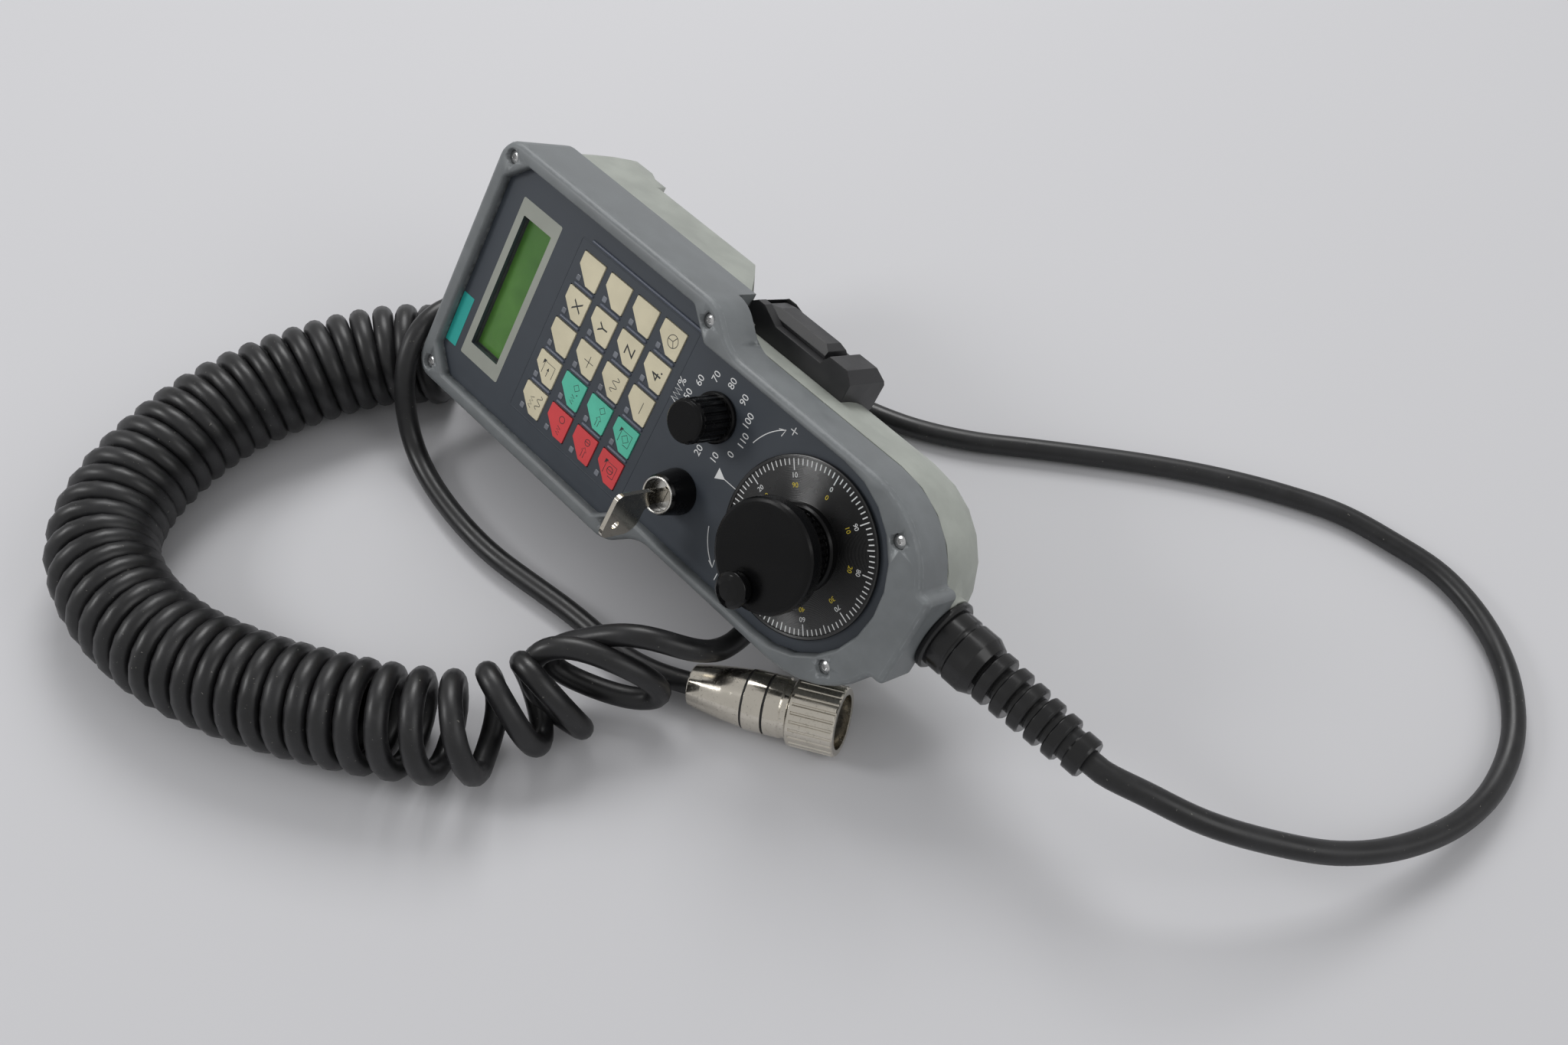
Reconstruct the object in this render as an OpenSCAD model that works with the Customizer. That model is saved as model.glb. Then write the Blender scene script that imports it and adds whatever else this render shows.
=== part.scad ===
// Handheld operating pendant: a two-part housing with a handwheel, display, keypad, override knob,
// key switch, two side enabling switches, and a coiled cord that ends in a circular metal connector.
// The housing is described flat (x right, y towards the display, z out of the face, origin at the
// handwheel's axis on the control panel) and is then laid down once, as it rests on its left edge.

/* [Housing] */
// Width across the display end
body_w = 115; // [113:1:122]
// Width across the grip
grip_w = 90; // [89:1:93]
// From the handwheel's axis up to the display end
top_y = 206; // [205:1:210]
// From the handwheel's axis down to the centre of the round grip end
grip_drop = 11.5; // [11:0.5:13]
// Width of the cord boss below the grip end
boss_w = 40; // [38:1:44]
// How far the cord boss stands out beyond the grip end
boss_out = 1; // [0.5:0.5:3]
// Height of the face rim above the control panel
rim_h = 4.7; // [4:0.1:5.5]
// Depth of the front frame's walls beside the display and keys
high_wall = 27; // [26:0.5:28]
// Depth of the front frame's walls around the grip
low_wall = 15; // [14:0.5:16]
// Thickness of the housing walls
wall = 3; // [2.4:0.1:3.2]
// Where the housing steps from the keypad depth to the grip depth
step_y = 84; // [83:0.5:85]
// Depth of the rear shell behind the keypad
shell_d = 62; // [60:0.5:64]
// Depth of the lip behind the display end
lip_d = 68; // [66:0.5:70]
// Depth of the rear shell behind the grip
grip_d = 50; // [48:0.5:52]
// Step in from the front frame to the rear shell
shell_step = 2; // [1:0.5:2.5]
// Thickness of the gasket between frame and shell
seal_t = 0.8; // [0.6:0.1:1.2]

/* [Control panel] */
// Width of the face rim beside the keypad
face_rim = 6.5; // [6:0.1:7.5]
// Width of the face rim beside the handwheel
grip_rim = 4.5; // [4:0.1:5]
// Thickness of the control panel
panel_t = 2; // [1.6:0.1:2.2]
// How far the panel reaches under the rim
ledge = 1.5; // [1:0.1:1.8]
// Width of the display opening
view_w = 62.8; // [60:0.2:66]
// Height of the display opening
view_h = 17.5; // [16:0.1:20]
// From the handwheel's axis up to the middle of the display
view_y = 176; // [175:0.5:177]

/* [Keys] */
// Width of a key
key_w = 12.5; // [11:0.1:13]
// Height of a key
key_h = 12.8; // [11:0.1:13.2]
// Distance between key columns
key_px = 15.75; // [15.2:0.05:16]
// Distance between key rows
key_py = 16.3; // [15.8:0.1:16.5]
// From the handwheel's axis up to the middle of the lowest key row
key_y = 93; // [92:0.5:94]
// How far a key stands above the panel
key_up = 0.5; // [0.3:0.1:0.9]
// Travel of a key
key_travel = 0.4; // [0.3:0.05:0.5]

/* [Handwheel] */
// Diameter of the graduated dial
dial_d = 71; // [66:0.5:75]
// Diameter of the knob's top disc
wheel_d = 44.4; // [42:0.2:48]
// Height of the knob above the panel
wheel_h = 26; // [24:0.5:30]
// Diameter of the knob's foot
hub_d = 35.2; // [34:0.2:38]
// Diameter of the turning crank grip
crank_d = 14.4; // [12:0.2:15]
// Height of the crank grip
crank_h = 7; // [6.4:0.1:9]
// From the handwheel's axis to the crank's axis
crank_r = 16; // [14:0.5:17]
// Diameter of the encoder shaft
shaft_d = 6; // [5:0.5:7]
// Diameter of the encoder behind the panel
encoder_d = 46; // [42:1:50]
// Depth of the encoder behind the panel
encoder_h = 18; // [16:0.5:20]

/* [Override knob and key switch] */
// Distance of the override knob and the key switch from the centre line
pair_x = 18; // [17:0.5:20]
// From the handwheel's axis up to the override knob and the key switch
pair_y = 59; // [58.5:0.5:60]
// Diameter of the override knob's foot
over_d = 20.6; // [18:0.2:22]
// Height of the override knob
over_h = 20; // [17:0.5:24]
// Height of the key switch barrel
lock_h = 12.8; // [11.5:0.1:15]
// Diameter of the key switch barrel's foot
lock_d = 19; // [18.4:0.1:20]
// Diameter of the lock cylinder
plug_d = 13; // [12.4:0.1:13.4]
// Thickness of the key
key_t = 1.9; // [1.5:0.1:2.4]
// Height of the key's bow above the barrel
bow_l = 25.2; // [23:0.2:27]
// Reach of the key's bow from the lock's axis
bow_w = 16.8; // [15:0.2:18]

/* [Enabling switches] */
// Lower end of the switch housing
side_y0 = 27.5; // [27:0.5:29]
// Upper end of the switch housing
side_y1 = 83.5; // [82:0.5:83.5]
// Front face of the switch housing, below the panel
side_z0 = 25.5; // [25:0.5:26.5]
// Back face of the switch housing, below the panel
side_z1 = 52; // [51:0.5:53]
// How far the switches stand out beyond the grip
side_out = 12; // [11:0.5:12.5]
// Diameter of the hinge pin
pin_d = 3; // [2.5:0.1:3.5]
// Angle that the switch button swings inwards
press_deg = 4; // [2:0.5:4.5]

/* [Cord outlet] */
// Diameter of the cord
cord_d = 9.2; // [8:0.1:9.6]
// Depth of the gland's axis below the panel
gland_z = 22; // [22:0.5:24]
// Diameter of the gland's flange
flange_d = 30; // [28:0.5:32]
// Diameter of the gland's cap
cap_d = 25.3; // [24.4:0.1:26]
// Length of the gland's cap
cap_l = 20; // [18:0.5:22]
// Length of the bend relief beyond the cap
relief_l = 49; // [44:1:49]
// Number of ribs on the bend relief
relief_n = 5; // [3:1:6]

/* [Connector] */
// Diameter of the coupling ring
ring_d = 28; // [27:0.2:30]
// Length of the coupling ring
ring_l = 20; // [18:0.5:22]
// Radius of the coupling ring's thread
thread_r = 11; // [10.8:0.05:11.2]
// Length of the whole connector
plug_l = 63; // [60:1:66]
// Diameter of the connector's barrel
barrel_d = 23.7; // [23:0.1:24.4]
// Number of flutes on the coupling ring
flutes = 25; // [20:1:30]

/* [Fits] */
// Radial clearance of a turning shaft in its bore
run_gap = 0.05; // [0.02:0.01:0.08]
// Gap between moving pieces that pass each other
pass_gap = 0.3; // [0.25:0.05:0.35]
// Diameter of the housing screws
screw_d = 3; // [2.5:0.1:3.2]
// Diameter of the coiled cord's outside
coil_d = 45.6; // [44:0.2:46]

/* [Hidden] */
$fn = 64;
hw = body_w / 2;
gw = grip_w / 2;
boss_drop = grip_drop + gw + boss_out;
KEYS = [for (r = [1:4]) for (c = [1:5]) str("key_", r, "_", c)];

// The housing's lie: face tipped towards the front, display end raised a little
tip = 56;
raise = 3.5;
lift = 71.5;
shift_x = 40;
shift_y = -18.5;

// ---- outlines ----------------------------------------------------------------------------------
function arc(c, r, a0, a1, n) = [for (k = [0:n]) c + r * [cos(a0 + (a1 - a0) * k / n),
    sin(a0 + (a1 - a0) * k / n)]];
function unit(v) = v / norm(v);
function right_of(v) = [v.y, -v.x];
// A right-hand side, from the top down, becomes a whole outline that runs clockwise
function whole(p) = concat(p, [for (k = [len(p) - 1:-1:0]) [-p[k].x, p[k].y]]);
function whole_r(r) = concat(r, [for (k = [len(r) - 1:-1:0]) r[k]]);
// An outline moved inwards by d
function inset(p, d) = [for (k = [0:len(p) - 1])
    let (u = unit(p[k] - p[(k + len(p) - 1) % len(p)]), v = unit(p[(k + 1) % len(p)] - p[k]),
         a = right_of(u), b = right_of(v))
    p[k] + d * (a + b) / (1 + a * b)];
// Each corner of an outline moved in by d, rounded to its own radius
function rounded(p, r, d = 0, n = 6) = let (q = inset(p, d)) [for (k = [0:len(q) - 1])
    let (u = unit(q[k] - q[(k + len(q) - 1) % len(q)]), v = unit(q[(k + 1) % len(q)] - q[k]),
         s = sign(right_of(u) * v), turn = acos(u * v), rr = max(0.1, r[k] - s * d),
         c = q[k] - u * rr * tan(turn / 2) + right_of(u) * rr * s,
         a0 = atan2(-s * right_of(u).y, -s * right_of(u).x))
    each arc(c, rr, a0, a0 - s * turn, n)];
function ellipse_step(a) = [sin(a), 1 - cos(a)];

module plate(p, z0, z1) translate([0, 0, z0]) linear_extrude(z1 - z0) polygon(p);
// A solid through rings of equal count: levels are [height, inset] from the bottom up. The rings are
// alike left and right, so each end is closed by strips that run straight across
module loft(p, r, levels, n = 6) {
  rings = [for (l = levels) rounded(p, r, l[1], n)];
  m = len(rings[0]);
  top = (len(levels) - 1) * m;
  points = [for (k = [0:len(levels) - 1]) for (q = rings[k]) [q.x, q.y, levels[k][0]]];
  faces = concat([for (i = [0:m / 2 - 2]) [m - 1 - i, m - 2 - i, i + 1, i]],
      [for (i = [0:m / 2 - 2]) [top + i, top + i + 1, top + m - 2 - i, top + m - 1 - i]],
      [for (k = [0:len(levels) - 2]) for (i = [0:m - 1])
       [k * m + (i + 1) % m, (k + 1) * m + (i + 1) % m, (k + 1) * m + i, k * m + i]]);
  polyhedron(points, faces);
}
// A bar along y with its axis at [x, z]
module along_y(x, z, y0, y1, r) translate([x, y1, z]) rotate([90, 0, 0]) cylinder(h = y1 - y0, r = r);
// A prism along x from a side view's [y, z] points
module side_prism(p, x) translate([-x, 0, 0]) rotate([90, 0, 90]) linear_extrude(2 * x) polygon(p);
// A prism along y from an end view's [x, z] points
module end_prism(p, y0, y1) translate([0, y1, 0]) rotate([90, 0, 0]) linear_extrude(y1 - y0) polygon(p);
module both() for (m = [0, 1]) mirror([m, 0, 0]) children();
module tube(r1, r2, z0, z1) translate([0, 0, z0]) difference() {
  cylinder(h = z1 - z0, r = r2);
  translate([0, 0, -1]) cylinder(h = z1 - z0 + 2, r = r1);
}

// The front frame's outline
grip_y = -grip_drop;
boss_y = -boss_drop;
end_a = acos(boss_w / 2 / gw);
frame_p = whole([[hw, top_y], [hw, step_y - 6.2], [gw, step_y - 20.2], [gw, grip_y - gw * tan(end_a / 2)],
    [boss_w / 2, grip_y - gw * sin(end_a)], [boss_w / 2, boss_y]]);
frame_r = whole_r([9.5, 15, 18, gw - 2.2, 2, 2.5]);
// The opening in its face
ow = hw - face_rim;
og = gw - grip_rim;
open_top = top_y - 7;
open_p = whole([[ow - 10, open_top], [ow, open_top - 10], [ow, step_y + 4], [og, step_y - 8], [og, -og]]);
open_r = whole_r([2, 2, 3, 3, og - 0.5]);
// The grip end's outline without the boss
grip_p = whole([[gw, step_y + 16], [gw, grip_y - gw]]);
grip_rr = whole_r([1, gw - 0.5]);
// The rear shell's outline behind the display and keys
bulge_top = top_y - 3;
bulge_p = whole([[hw - shell_step, bulge_top], [hw - shell_step, step_y + 0.5]]);
bulge_r = whole_r([9, 2]);

// Housing screws: each side's three places
// The middle one stands between the opening's slanted edge and the flank
shoulder_x = (og + 0.25 * (ow - og) + hw) / 2 - 0.8;
screw_ring = og + 5.35;
screw_at = [[hw - 7, top_y - 7.5], [shoulder_x, step_y - 5], screw_ring * [cos(48.8), -sin(48.8)]];
head_d = 1.85 * screw_d;
post_r = 3.4;

// ---- housing -----------------------------------------------------------------------------------
module at_screws(k0 = 0, k1 = 2) both() for (k = [k0:k1]) translate([screw_at[k].x, screw_at[k].y, 0])
    children();

module front_frame() color("dimgray") difference() {
  union() {
    difference() {
      loft(frame_p, frame_r, [[-high_wall, 0], [rim_h - 2.4, 0], [rim_h - 0.6, 0.9], [rim_h, 2.4]]);
      // grip depth below the step
      translate([-hw - 1, boss_y - 1, -high_wall - 1])
          cube([body_w + 2, step_y - boss_y + 1, high_wall - low_wall + 1]);
      intersection() {
        plate(rounded(frame_p, frame_r, wall), -high_wall - 1, 0);
        translate([-hw, step_y + wall, -high_wall - 1]) cube([body_w, top_y - step_y, high_wall + 1]);
      }
      intersection() {
        plate(rounded(grip_p, grip_rr, wall), -high_wall - 1, 0);
        translate([-gw, boss_y, -high_wall - 1]) cube([grip_w, step_y - boss_y + 2 * wall, high_wall + 1]);
      }
      // pocket that the panel's lower shoulders reach into
      plate(rounded(open_p, open_r, -ledge - 0.1), -panel_t, 0);
      loft(open_p, open_r, [[-1, 0], [rim_h - 1.6, 0], [rim_h - 0.4, -0.5], [rim_h + 0.1, -1.4]]);
    }
    for (k = [0:2]) at_screws(k, k) translate([0, 0, -(k == 0 ? high_wall : low_wall)])
      cylinder(h = (k == 0 ? high_wall : low_wall) + 0.5, r = post_r);
  }
  plate(rounded(open_p, open_r, -ledge - 0.1), -panel_t, 0);
  at_screws() {
    translate([0, 0, -high_wall - 1]) cylinder(h = high_wall + 2 + rim_h, r = screw_d / 2 + 0.2);
    translate([0, 0, rim_h - 3.4]) cylinder(h = 4, r = head_d / 2 + 0.45);
  }
}

module front_panel() color("darkslategray") difference() {
  plate(rounded(open_p, open_r, -ledge), -panel_t, 0);
  translate([-view_w / 2, view_y - view_h / 2, -panel_t - 1]) cube([view_w, view_h, panel_t + 2]);
  for (r = [1:4]) for (c = [1:5]) key_at(r, c) plate(inset(key_p, -pass_gap), -panel_t - 1, 1);
  translate([0, 0, -panel_t - 1]) cylinder(h = panel_t + 2, r = bush_r + 0.1);
  translate([pair_x, pair_y, -panel_t - 1]) cylinder(h = panel_t + 2, r = over_bush_r + 0.1);
  translate([-pair_x, pair_y, -panel_t - 1]) cylinder(h = panel_t + 2, r = stem_r + 0.1);
}

module display_window() color("lightgreen") translate([-view_w / 2 - 3, view_y - view_h / 2 - 2.5,
    -panel_t - 1])
  cube([view_w + 6, view_h + 5, 1]);

module display_module() color("darkgreen") {
  z0 = -panel_t - 1;
  difference() {
    translate([-view_w / 2 - 5, view_y - view_h / 2 - 3.5, z0 - 5]) cube([view_w + 10, view_h + 7, 5]);
    translate([-view_w / 2 - 0.5, view_y - view_h / 2 - 0.5, z0 - 1.5]) cube([view_w + 1, view_h + 1, 2]);
  }
  translate([-view_w / 2 - 8.6, view_y - 0.8 * view_h, z0 - 5 - board_t])
      cube([view_w + 17.2, 1.6 * view_h, board_t]);
}

// The gasket follows the frame's foot on both depths
module seal_band(p, r, z) plate_ring(rounded(p, r, shell_step + 0.3), rounded(p, r, wall), z);
module plate_ring(a, b, z) translate([0, 0, z - seal_t]) linear_extrude(seal_t) difference() {
  polygon(a);
  polygon(b);
}
module frame_seal() color("black") {
  intersection() {
    seal_band(frame_p, frame_r, -high_wall);
    translate([-hw, step_y + wall, -high_wall - 2]) cube([body_w, top_y, 3]);
  }
  intersection() {
    plate_ring(rounded(grip_p, grip_rr, 0.6), rounded(grip_p, grip_rr, wall), -low_wall);
    translate([-hw, boss_y, -low_wall - 2]) cube([body_w, step_y - boss_y - pass_gap, 3]);
  }
}

// Rear shell behind the display and keys, moved inwards by d
lip_y = top_y - 13.5;
// How far the ramp from the grip depth reaches along the keypad, and the height it starts at
ramp_l = 16;
ramp_z = grip_d - 4;
module bulge(d, z_top) {
  main = [[bulge_top - d, z_top], [bulge_top - d, -high_wall], [lip_y - d, -lip_d + d],
      [lip_y - 6, -lip_d + d],
      [lip_y - 15 + d / 2, -shell_d + d], [step_y + ramp_l + 18, -shell_d + d],
      [step_y + ramp_l + 10 + d / 2, -shell_d + 4 + d], [step_y + ramp_l + d, -ramp_z + d / 2],
      [step_y + 0.5 + d, -high_wall + d / 2], [step_y + 0.5 + d, z_top]];
  intersection() {
    plate(rounded(bulge_p, bulge_r, d), -lip_d - 1, z_top);
    side_prism(main, hw);
    union() {
      end_prism(rounded([[hw - shell_step - d, z_top + 5], [hw - shell_step - d, -shell_d + d],
          [-hw + shell_step + d, -shell_d + d], [-hw + shell_step + d, z_top + 5]], [1, 7, 7, 1]), 0, top_y);
      end_prism(rounded([[hw - shell_step - d, 22 - shell_d], [hw - shell_step - d, -lip_d + d],
          [-hw + shell_step + d, -lip_d + d], [-hw + shell_step + d, 22 - shell_d]], [1, 3, 3, 1]),
          lip_y - 22, top_y);
    }
  }
}
// Rear shell behind the grip, moved inwards by d
module grip_bowl(d, z_top) loft(grip_p, grip_rr, concat(
    [for (a = [90:-15:0]) [-side_z0 - (grip_d - side_z0 - d) * ellipse_step(a)[0],
    d + 9 * ellipse_step(a)[1]]],
    [[z_top, d]]));
// The flat-sided place in each flank that a switch housing fills
pocket_x = gw - 9;
module side_pocket(d) both() translate([pocket_x - d, side_y0 - d, -side_z1 - 9])
  cube([gw, side_y1 - side_y0 + 2 * d, side_z1 + 9 - side_z0 + d]);

module rear_shell() color("silver") {
  top = -low_wall - seal_t;
  difference() {
    union() {
      bulge(0, -high_wall - seal_t);
      difference() {
        grip_bowl(0, top);
        translate([-hw, step_y - pass_gap, -high_wall - seal_t]) cube([body_w, top_y, high_wall]);
      }
      // round seat of the cord gland
      intersection() {
        along_y(0, -gland_z, boss_y, boss_y + 20, flange_d / 2);
        translate([-hw, boss_y - 1, -grip_d]) cube([body_w, 30, grip_d + top]);
      }
    }
    difference() {
      union() {
        bulge(wall, 0);
        grip_bowl(wall, 1);
      }
      side_pocket(wall);
      at_screws(2, 2) translate([0, 0, -grip_d]) cylinder(h = grip_d + top, r = post_r);
      at_screws(0, 0) translate([0, 0, -lip_d]) cylinder(h = lip_d - high_wall - seal_t, r = post_r);
      at_screws(1, 1) translate([-7, 0, -grip_d]) cylinder(h = grip_d + top, r = post_r);
      for (x = [-1, 1]) for (y = board_y) translate([x * board_x, y, -shell_d])
          cylinder(h = shell_d - board_z, r = 3);
      along_y(0, -gland_z, boss_y, boss_y + 20, flange_d / 2);
    }
    side_pocket(0);
    along_y(0, -gland_z, boss_y - 1, boss_y + 21, gland_thread_r);
    at_screws(0, 0) translate([0, 0, -lip_d + 8]) cylinder(h = lip_d, r = screw_d / 2 + run_gap);
    at_screws(2, 2) translate([0, 0, -grip_d + 8]) cylinder(h = grip_d, r = screw_d / 2 + run_gap);
  }
}

// Six pan-head screws through the frame into the shell
module front_screws() color("silver") for (k = [0:2]) at_screws(k, k) {
  reach = (k == 1 ? low_wall - 1 : (k == 0 ? high_wall : low_wall) + 10);
  translate([0, 0, -reach]) cylinder(h = reach + rim_h - 3.4, r = screw_d / 2);
  difference() {
    translate([0, 0, rim_h - 3.4]) intersection() {
      cylinder(h = 2.2, r = head_d / 2);
      translate([0, 0, -2.6]) sphere(r = 4.8);
    }
    translate([0, 0, rim_h - 2.4]) cylinder(h = 3, r = screw_d * 0.42, $fn = 6);
  }
}

// ---- electronics -------------------------------------------------------------------------------
board_x = hw - 17.5;
board_y = [key_y + 17, view_y - 6];
board_z = high_wall + 11;
board_t = 1.6;
board_l = board_y[1] - board_y[0] + 30;
chip_w = 0.3 * board_x * 2;
module main_board() color("seagreen") {
  translate([-board_x - 5, board_y[0] - 6, -board_z]) cube([2 * board_x + 10, board_l, board_t]);
  translate([-board_x / 2, board_y[0] + 0.16 * board_l, -board_z + board_t]) cube([chip_w, chip_w, board_t]);
  translate([0.35 * board_x, board_y[0] + 0.09 * board_l, -board_z + board_t])
      cube([chip_w / 2, 0.45 * board_l, 9]);
}

// ---- keypad ------------------------------------------------------------------------------------
key_cut_x = 0.53 * key_w;
key_cut_y = 0.56 * key_h;
// A key with its upper left corner cut away, clockwise
key_p = [[-key_w / 2 + key_cut_x, key_h / 2], [key_w / 2, key_h / 2], [key_w / 2, -key_h / 2],
    [-key_w / 2, -key_h / 2], [-key_w / 2, key_h / 2 - key_cut_y]];
key_lip = 0.7;
key_stop = 0.1;
key_foot = panel_t + key_stop + 0.4;
dome_z = key_foot + key_travel + 0.1;
module key_at(r, c) translate([(c - 3) * key_px - 0.5, key_y + (4 - r) * key_py, 0]) children();
function key_colour(r, c) = r > 1 && c == 1 ? "indianred" : r > 1 && c == 2 ? "mediumaquamarine" : "cornsilk";
module key(r, c) color(key_colour(r, c)) key_at(r, c) {
  plate(rounded(key_p, [0.4, 0.4, 0.4, 0.4, 0.4], 0, 2), -key_foot, key_up);
  plate(inset(key_p, -key_lip), -key_foot, -panel_t - key_stop);
}
module keypad_board() color("darkolivegreen") {
  w = 5 * key_px + 4;
  z = dome_z + 0.4;
  translate([-0.5 - w / 2, key_y - key_py / 2 - 2, -z - 1.6]) cube([w, 4 * key_py + 4, 1.6]);
  for (r = [1:4]) for (c = [1:5]) key_at(r, c) translate([0.8, -0.8, -z]) cylinder(h = 0.4, r = 3.5);
  for (x = [-1, 1]) for (y = [0, 1]) translate([-0.5 + x * (w / 2 - 1.2) - 1,
      key_y - key_py / 2 - 2 + y * (4 * key_py + 2), -z])
    cube([2, 2, z - panel_t]);
}

// ---- handwheel ---------------------------------------------------------------------------------
bush_r = shaft_d / 2 + 2;
nut_h = 2;
dial_z = 1.7;
disc_h = 8.4;
knob_seat = wheel_h - 7;
shaft_in = encoder_h - 6.5;
module turned(p) rotate_extrude() polygon(p);
module handwheel_dial() color("black") difference() {
  turned([[bush_r + 5, pass_gap], [dial_d / 2 - 0.5, pass_gap], [dial_d / 2, pass_gap + 0.5],
      [dial_d / 2, dial_z + 0.1], [dial_d / 2 - 0.4, dial_z + 0.4], [dial_d / 2 - 1.4, dial_z + 0.4],
      [dial_d / 2 - 1.7, dial_z], [bush_r + 5, dial_z]]);
}
module handwheel_knob() color("black") difference() {
  union() {
    turned([[0, dial_z], [hub_d / 2, dial_z], [hub_d / 2, dial_z + 3], [hub_d / 2 - 0.8, dial_z + 4],
        [hub_d / 2 - 2.8, dial_z + 4], [hub_d / 2 - 2.8, wheel_h - disc_h - 1.4],
        [wheel_d / 2 - 1.6, wheel_h - disc_h],
        [wheel_d / 2, wheel_h - disc_h + 1.4], [wheel_d / 2, wheel_h - 1.8],
        [wheel_d / 2 - 0.5, wheel_h - 0.6],
        [wheel_d / 2 - 1.6, wheel_h - 0.1], [wheel_d / 2 - 2.8, wheel_h], [0, wheel_h]]);
    plate(ribbed(hub_d / 2 - 2, 36, 0.9), dial_z + 4, dial_z + 9);
  }
  translate([0, 0, dial_z - 1]) cylinder(h = nut_h + 2, r = bush_r + 5.2);
  cylinder(h = knob_seat, r = shaft_d / 2 + run_gap);
  translate([crank_x, crank_y, wheel_h - 6]) cylinder(h = 7, r = 2 + run_gap);
}
// A toothed ring's outline: n ribs of height h inside radius r
function ribbed(r, n, h) = [for (k = [0:n - 1]) for (j = [[0.1, -h], [0.25, 0], [0.75, 0], [0.9, -h]])
    (r + j[1]) * [cos(-(k + j[0]) * 360 / n), sin(-(k + j[0]) * 360 / n)]];
crank_a = 174;
crank_x = crank_r * cos(crank_a);
crank_y = crank_r * sin(crank_a);
neck_r = 2;
head_r = 3.2;
module crank_pin() color("silver") translate([crank_x, crank_y, wheel_h]) {
  translate([0, 0, -6]) cylinder(h = 9, r = neck_r);
  translate([0, 0, 3]) cylinder(h = 1.6, r = head_r);
}
module crank_grip() color("black") translate([crank_x, crank_y, wheel_h])
    turned([[neck_r + run_gap, pass_gap],
    [crank_d / 2 - 1.4, pass_gap], [crank_d / 2 - 0.9, pass_gap + 0.5], [crank_d / 2 - 0.3, crank_h * 0.5],
    [crank_d / 2, crank_h * 0.62], [crank_d / 2 - 0.2, crank_h * 0.78], [crank_d / 2 - 1.3, crank_h * 0.9],
    [crank_d / 2 - 3.2, crank_h * 0.97], [0, crank_h], [0, 4.8], [head_r + pass_gap, 4.8],
    [head_r + pass_gap, 2.7], [neck_r + run_gap, 2.7]]);
module encoder_body() color("dimgray") difference() {
  union() {
    translate([0, 0, -panel_t - encoder_h]) cylinder(h = encoder_h, r = encoder_d / 2);
    translate([0, 0, -panel_t]) cylinder(h = panel_t + nut_h + 0.6, r = bush_r);
  }
  translate([0, 0, -panel_t - shaft_in - 0.5]) cylinder(h = 2 * encoder_h, r = shaft_d / 2 + run_gap);
}
module encoder_shaft() color("silver") translate([0, 0, -panel_t - shaft_in])
  cylinder(h = knob_seat - 0.1 + panel_t + shaft_in, r = shaft_d / 2);

// ---- override knob -----------------------------------------------------------------------------
over_bush_r = shaft_d / 2 + 1.5;
module at_override() translate([pair_x, pair_y, 0]) children();
module override_knob() color("black") at_override() difference() {
  union() {
    turned([[0, pass_gap], [over_d / 2, pass_gap], [over_d / 2, 1.6], [over_d / 2 - 0.6, 2.2], [0, 2.2]]);
    plate(ribbed(over_d / 2 - 1.3, 18, 0.7), 2.2, over_h - 2.4);
    turned([[0, over_h - 2.4], [over_d / 2 - 1.6, over_h - 2.4], [over_d / 2 - 1.8, over_h - 0.8],
        [over_d / 2 - 2.6, over_h], [0, over_h]]);
  }
  translate([0, 0, -1]) cylinder(h = nut_h + 2, r = over_bush_r + 2.8);
  cylinder(h = over_h - 5, r = shaft_d / 2 + run_gap);
}
module override_shaft() color("silver") at_override() translate([0, 0, -panel_t - 9.5])
  cylinder(h = over_h - 5.1 + panel_t + 9.5, r = shaft_d / 2);
module override_switch() color("dimgray") at_override() difference() {
  union() {
    translate([0, 0, -panel_t - 14]) cylinder(h = 14, r = 10);
    translate([0, 0, -panel_t]) cylinder(h = panel_t + nut_h - 0.2, r = over_bush_r);
  }
  translate([0, 0, -panel_t - 10]) cylinder(h = 20, r = shaft_d / 2 + run_gap);
}

// ---- key switch --------------------------------------------------------------------------------
stem_r = plug_d / 2 + 1.3;
plug_top = lock_h - 4.6;
key_x0 = -3.4;
key_x1 = 2.6;
module at_lock() translate([-pair_x, pair_y, 0]) children();
module key_barrel() color("black") at_lock() turned([[plug_d / 2 + run_gap, -panel_t - 12],
    [stem_r, -panel_t - 12], [stem_r, 0],
    [lock_d / 2, 0], [lock_d / 2, 1.2], [stem_r + 0.4, lock_h - 1.4], [stem_r - 0.3, lock_h],
    [plug_d / 2 + run_gap, lock_h]]);
module lock_cylinder() color("silver") at_lock() difference() {
  translate([0, 0, -panel_t - 16]) cylinder(h = plug_top + panel_t + 16, r = plug_d / 2);
  translate([key_x0 - pass_gap, -key_t / 2 - 0.1, -panel_t - 10])
      cube([key_x1 - key_x0 + 2 * pass_gap, key_t + 0.2, 30]);
}
module switch_key() color("silver") at_lock() translate([0, key_t / 2, 0]) rotate([90, 0, 0])
    linear_extrude(key_t) difference() {
  polygon(concat([[key_x0, -panel_t - 9.8], [key_x1, -panel_t - 9.8], [key_x1, lock_h + 4],
      [key_x1 + 0.8, lock_h + 6]],
      arc([key_x1 - 2.2, lock_h + bow_l - 3], 3, 0, 90, 4), arc([4 - bow_w, lock_h + bow_l - 4], 4, 90,
          180, 4),
      arc([6 - bow_w, lock_h + bow_l - 14], 6, 180, 270, 4), [[-6, lock_h + 5.2], [key_x0, lock_h + 2]]));
  translate([5.8 - bow_w, lock_h + bow_l - 6.2]) circle(r = 1.8);
}
module key_contact_block() color("dimgray") at_lock() {
  w = plug_d + 7;
  translate([-w / 2, -w / 2, -panel_t - 16.3 - 0.7 * w]) cube([w, w, 0.7 * w]);
  tube(plug_d / 2 + pass_gap, w / 2 - 0.5, -panel_t - 16.3, -panel_t - 12);
}

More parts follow.
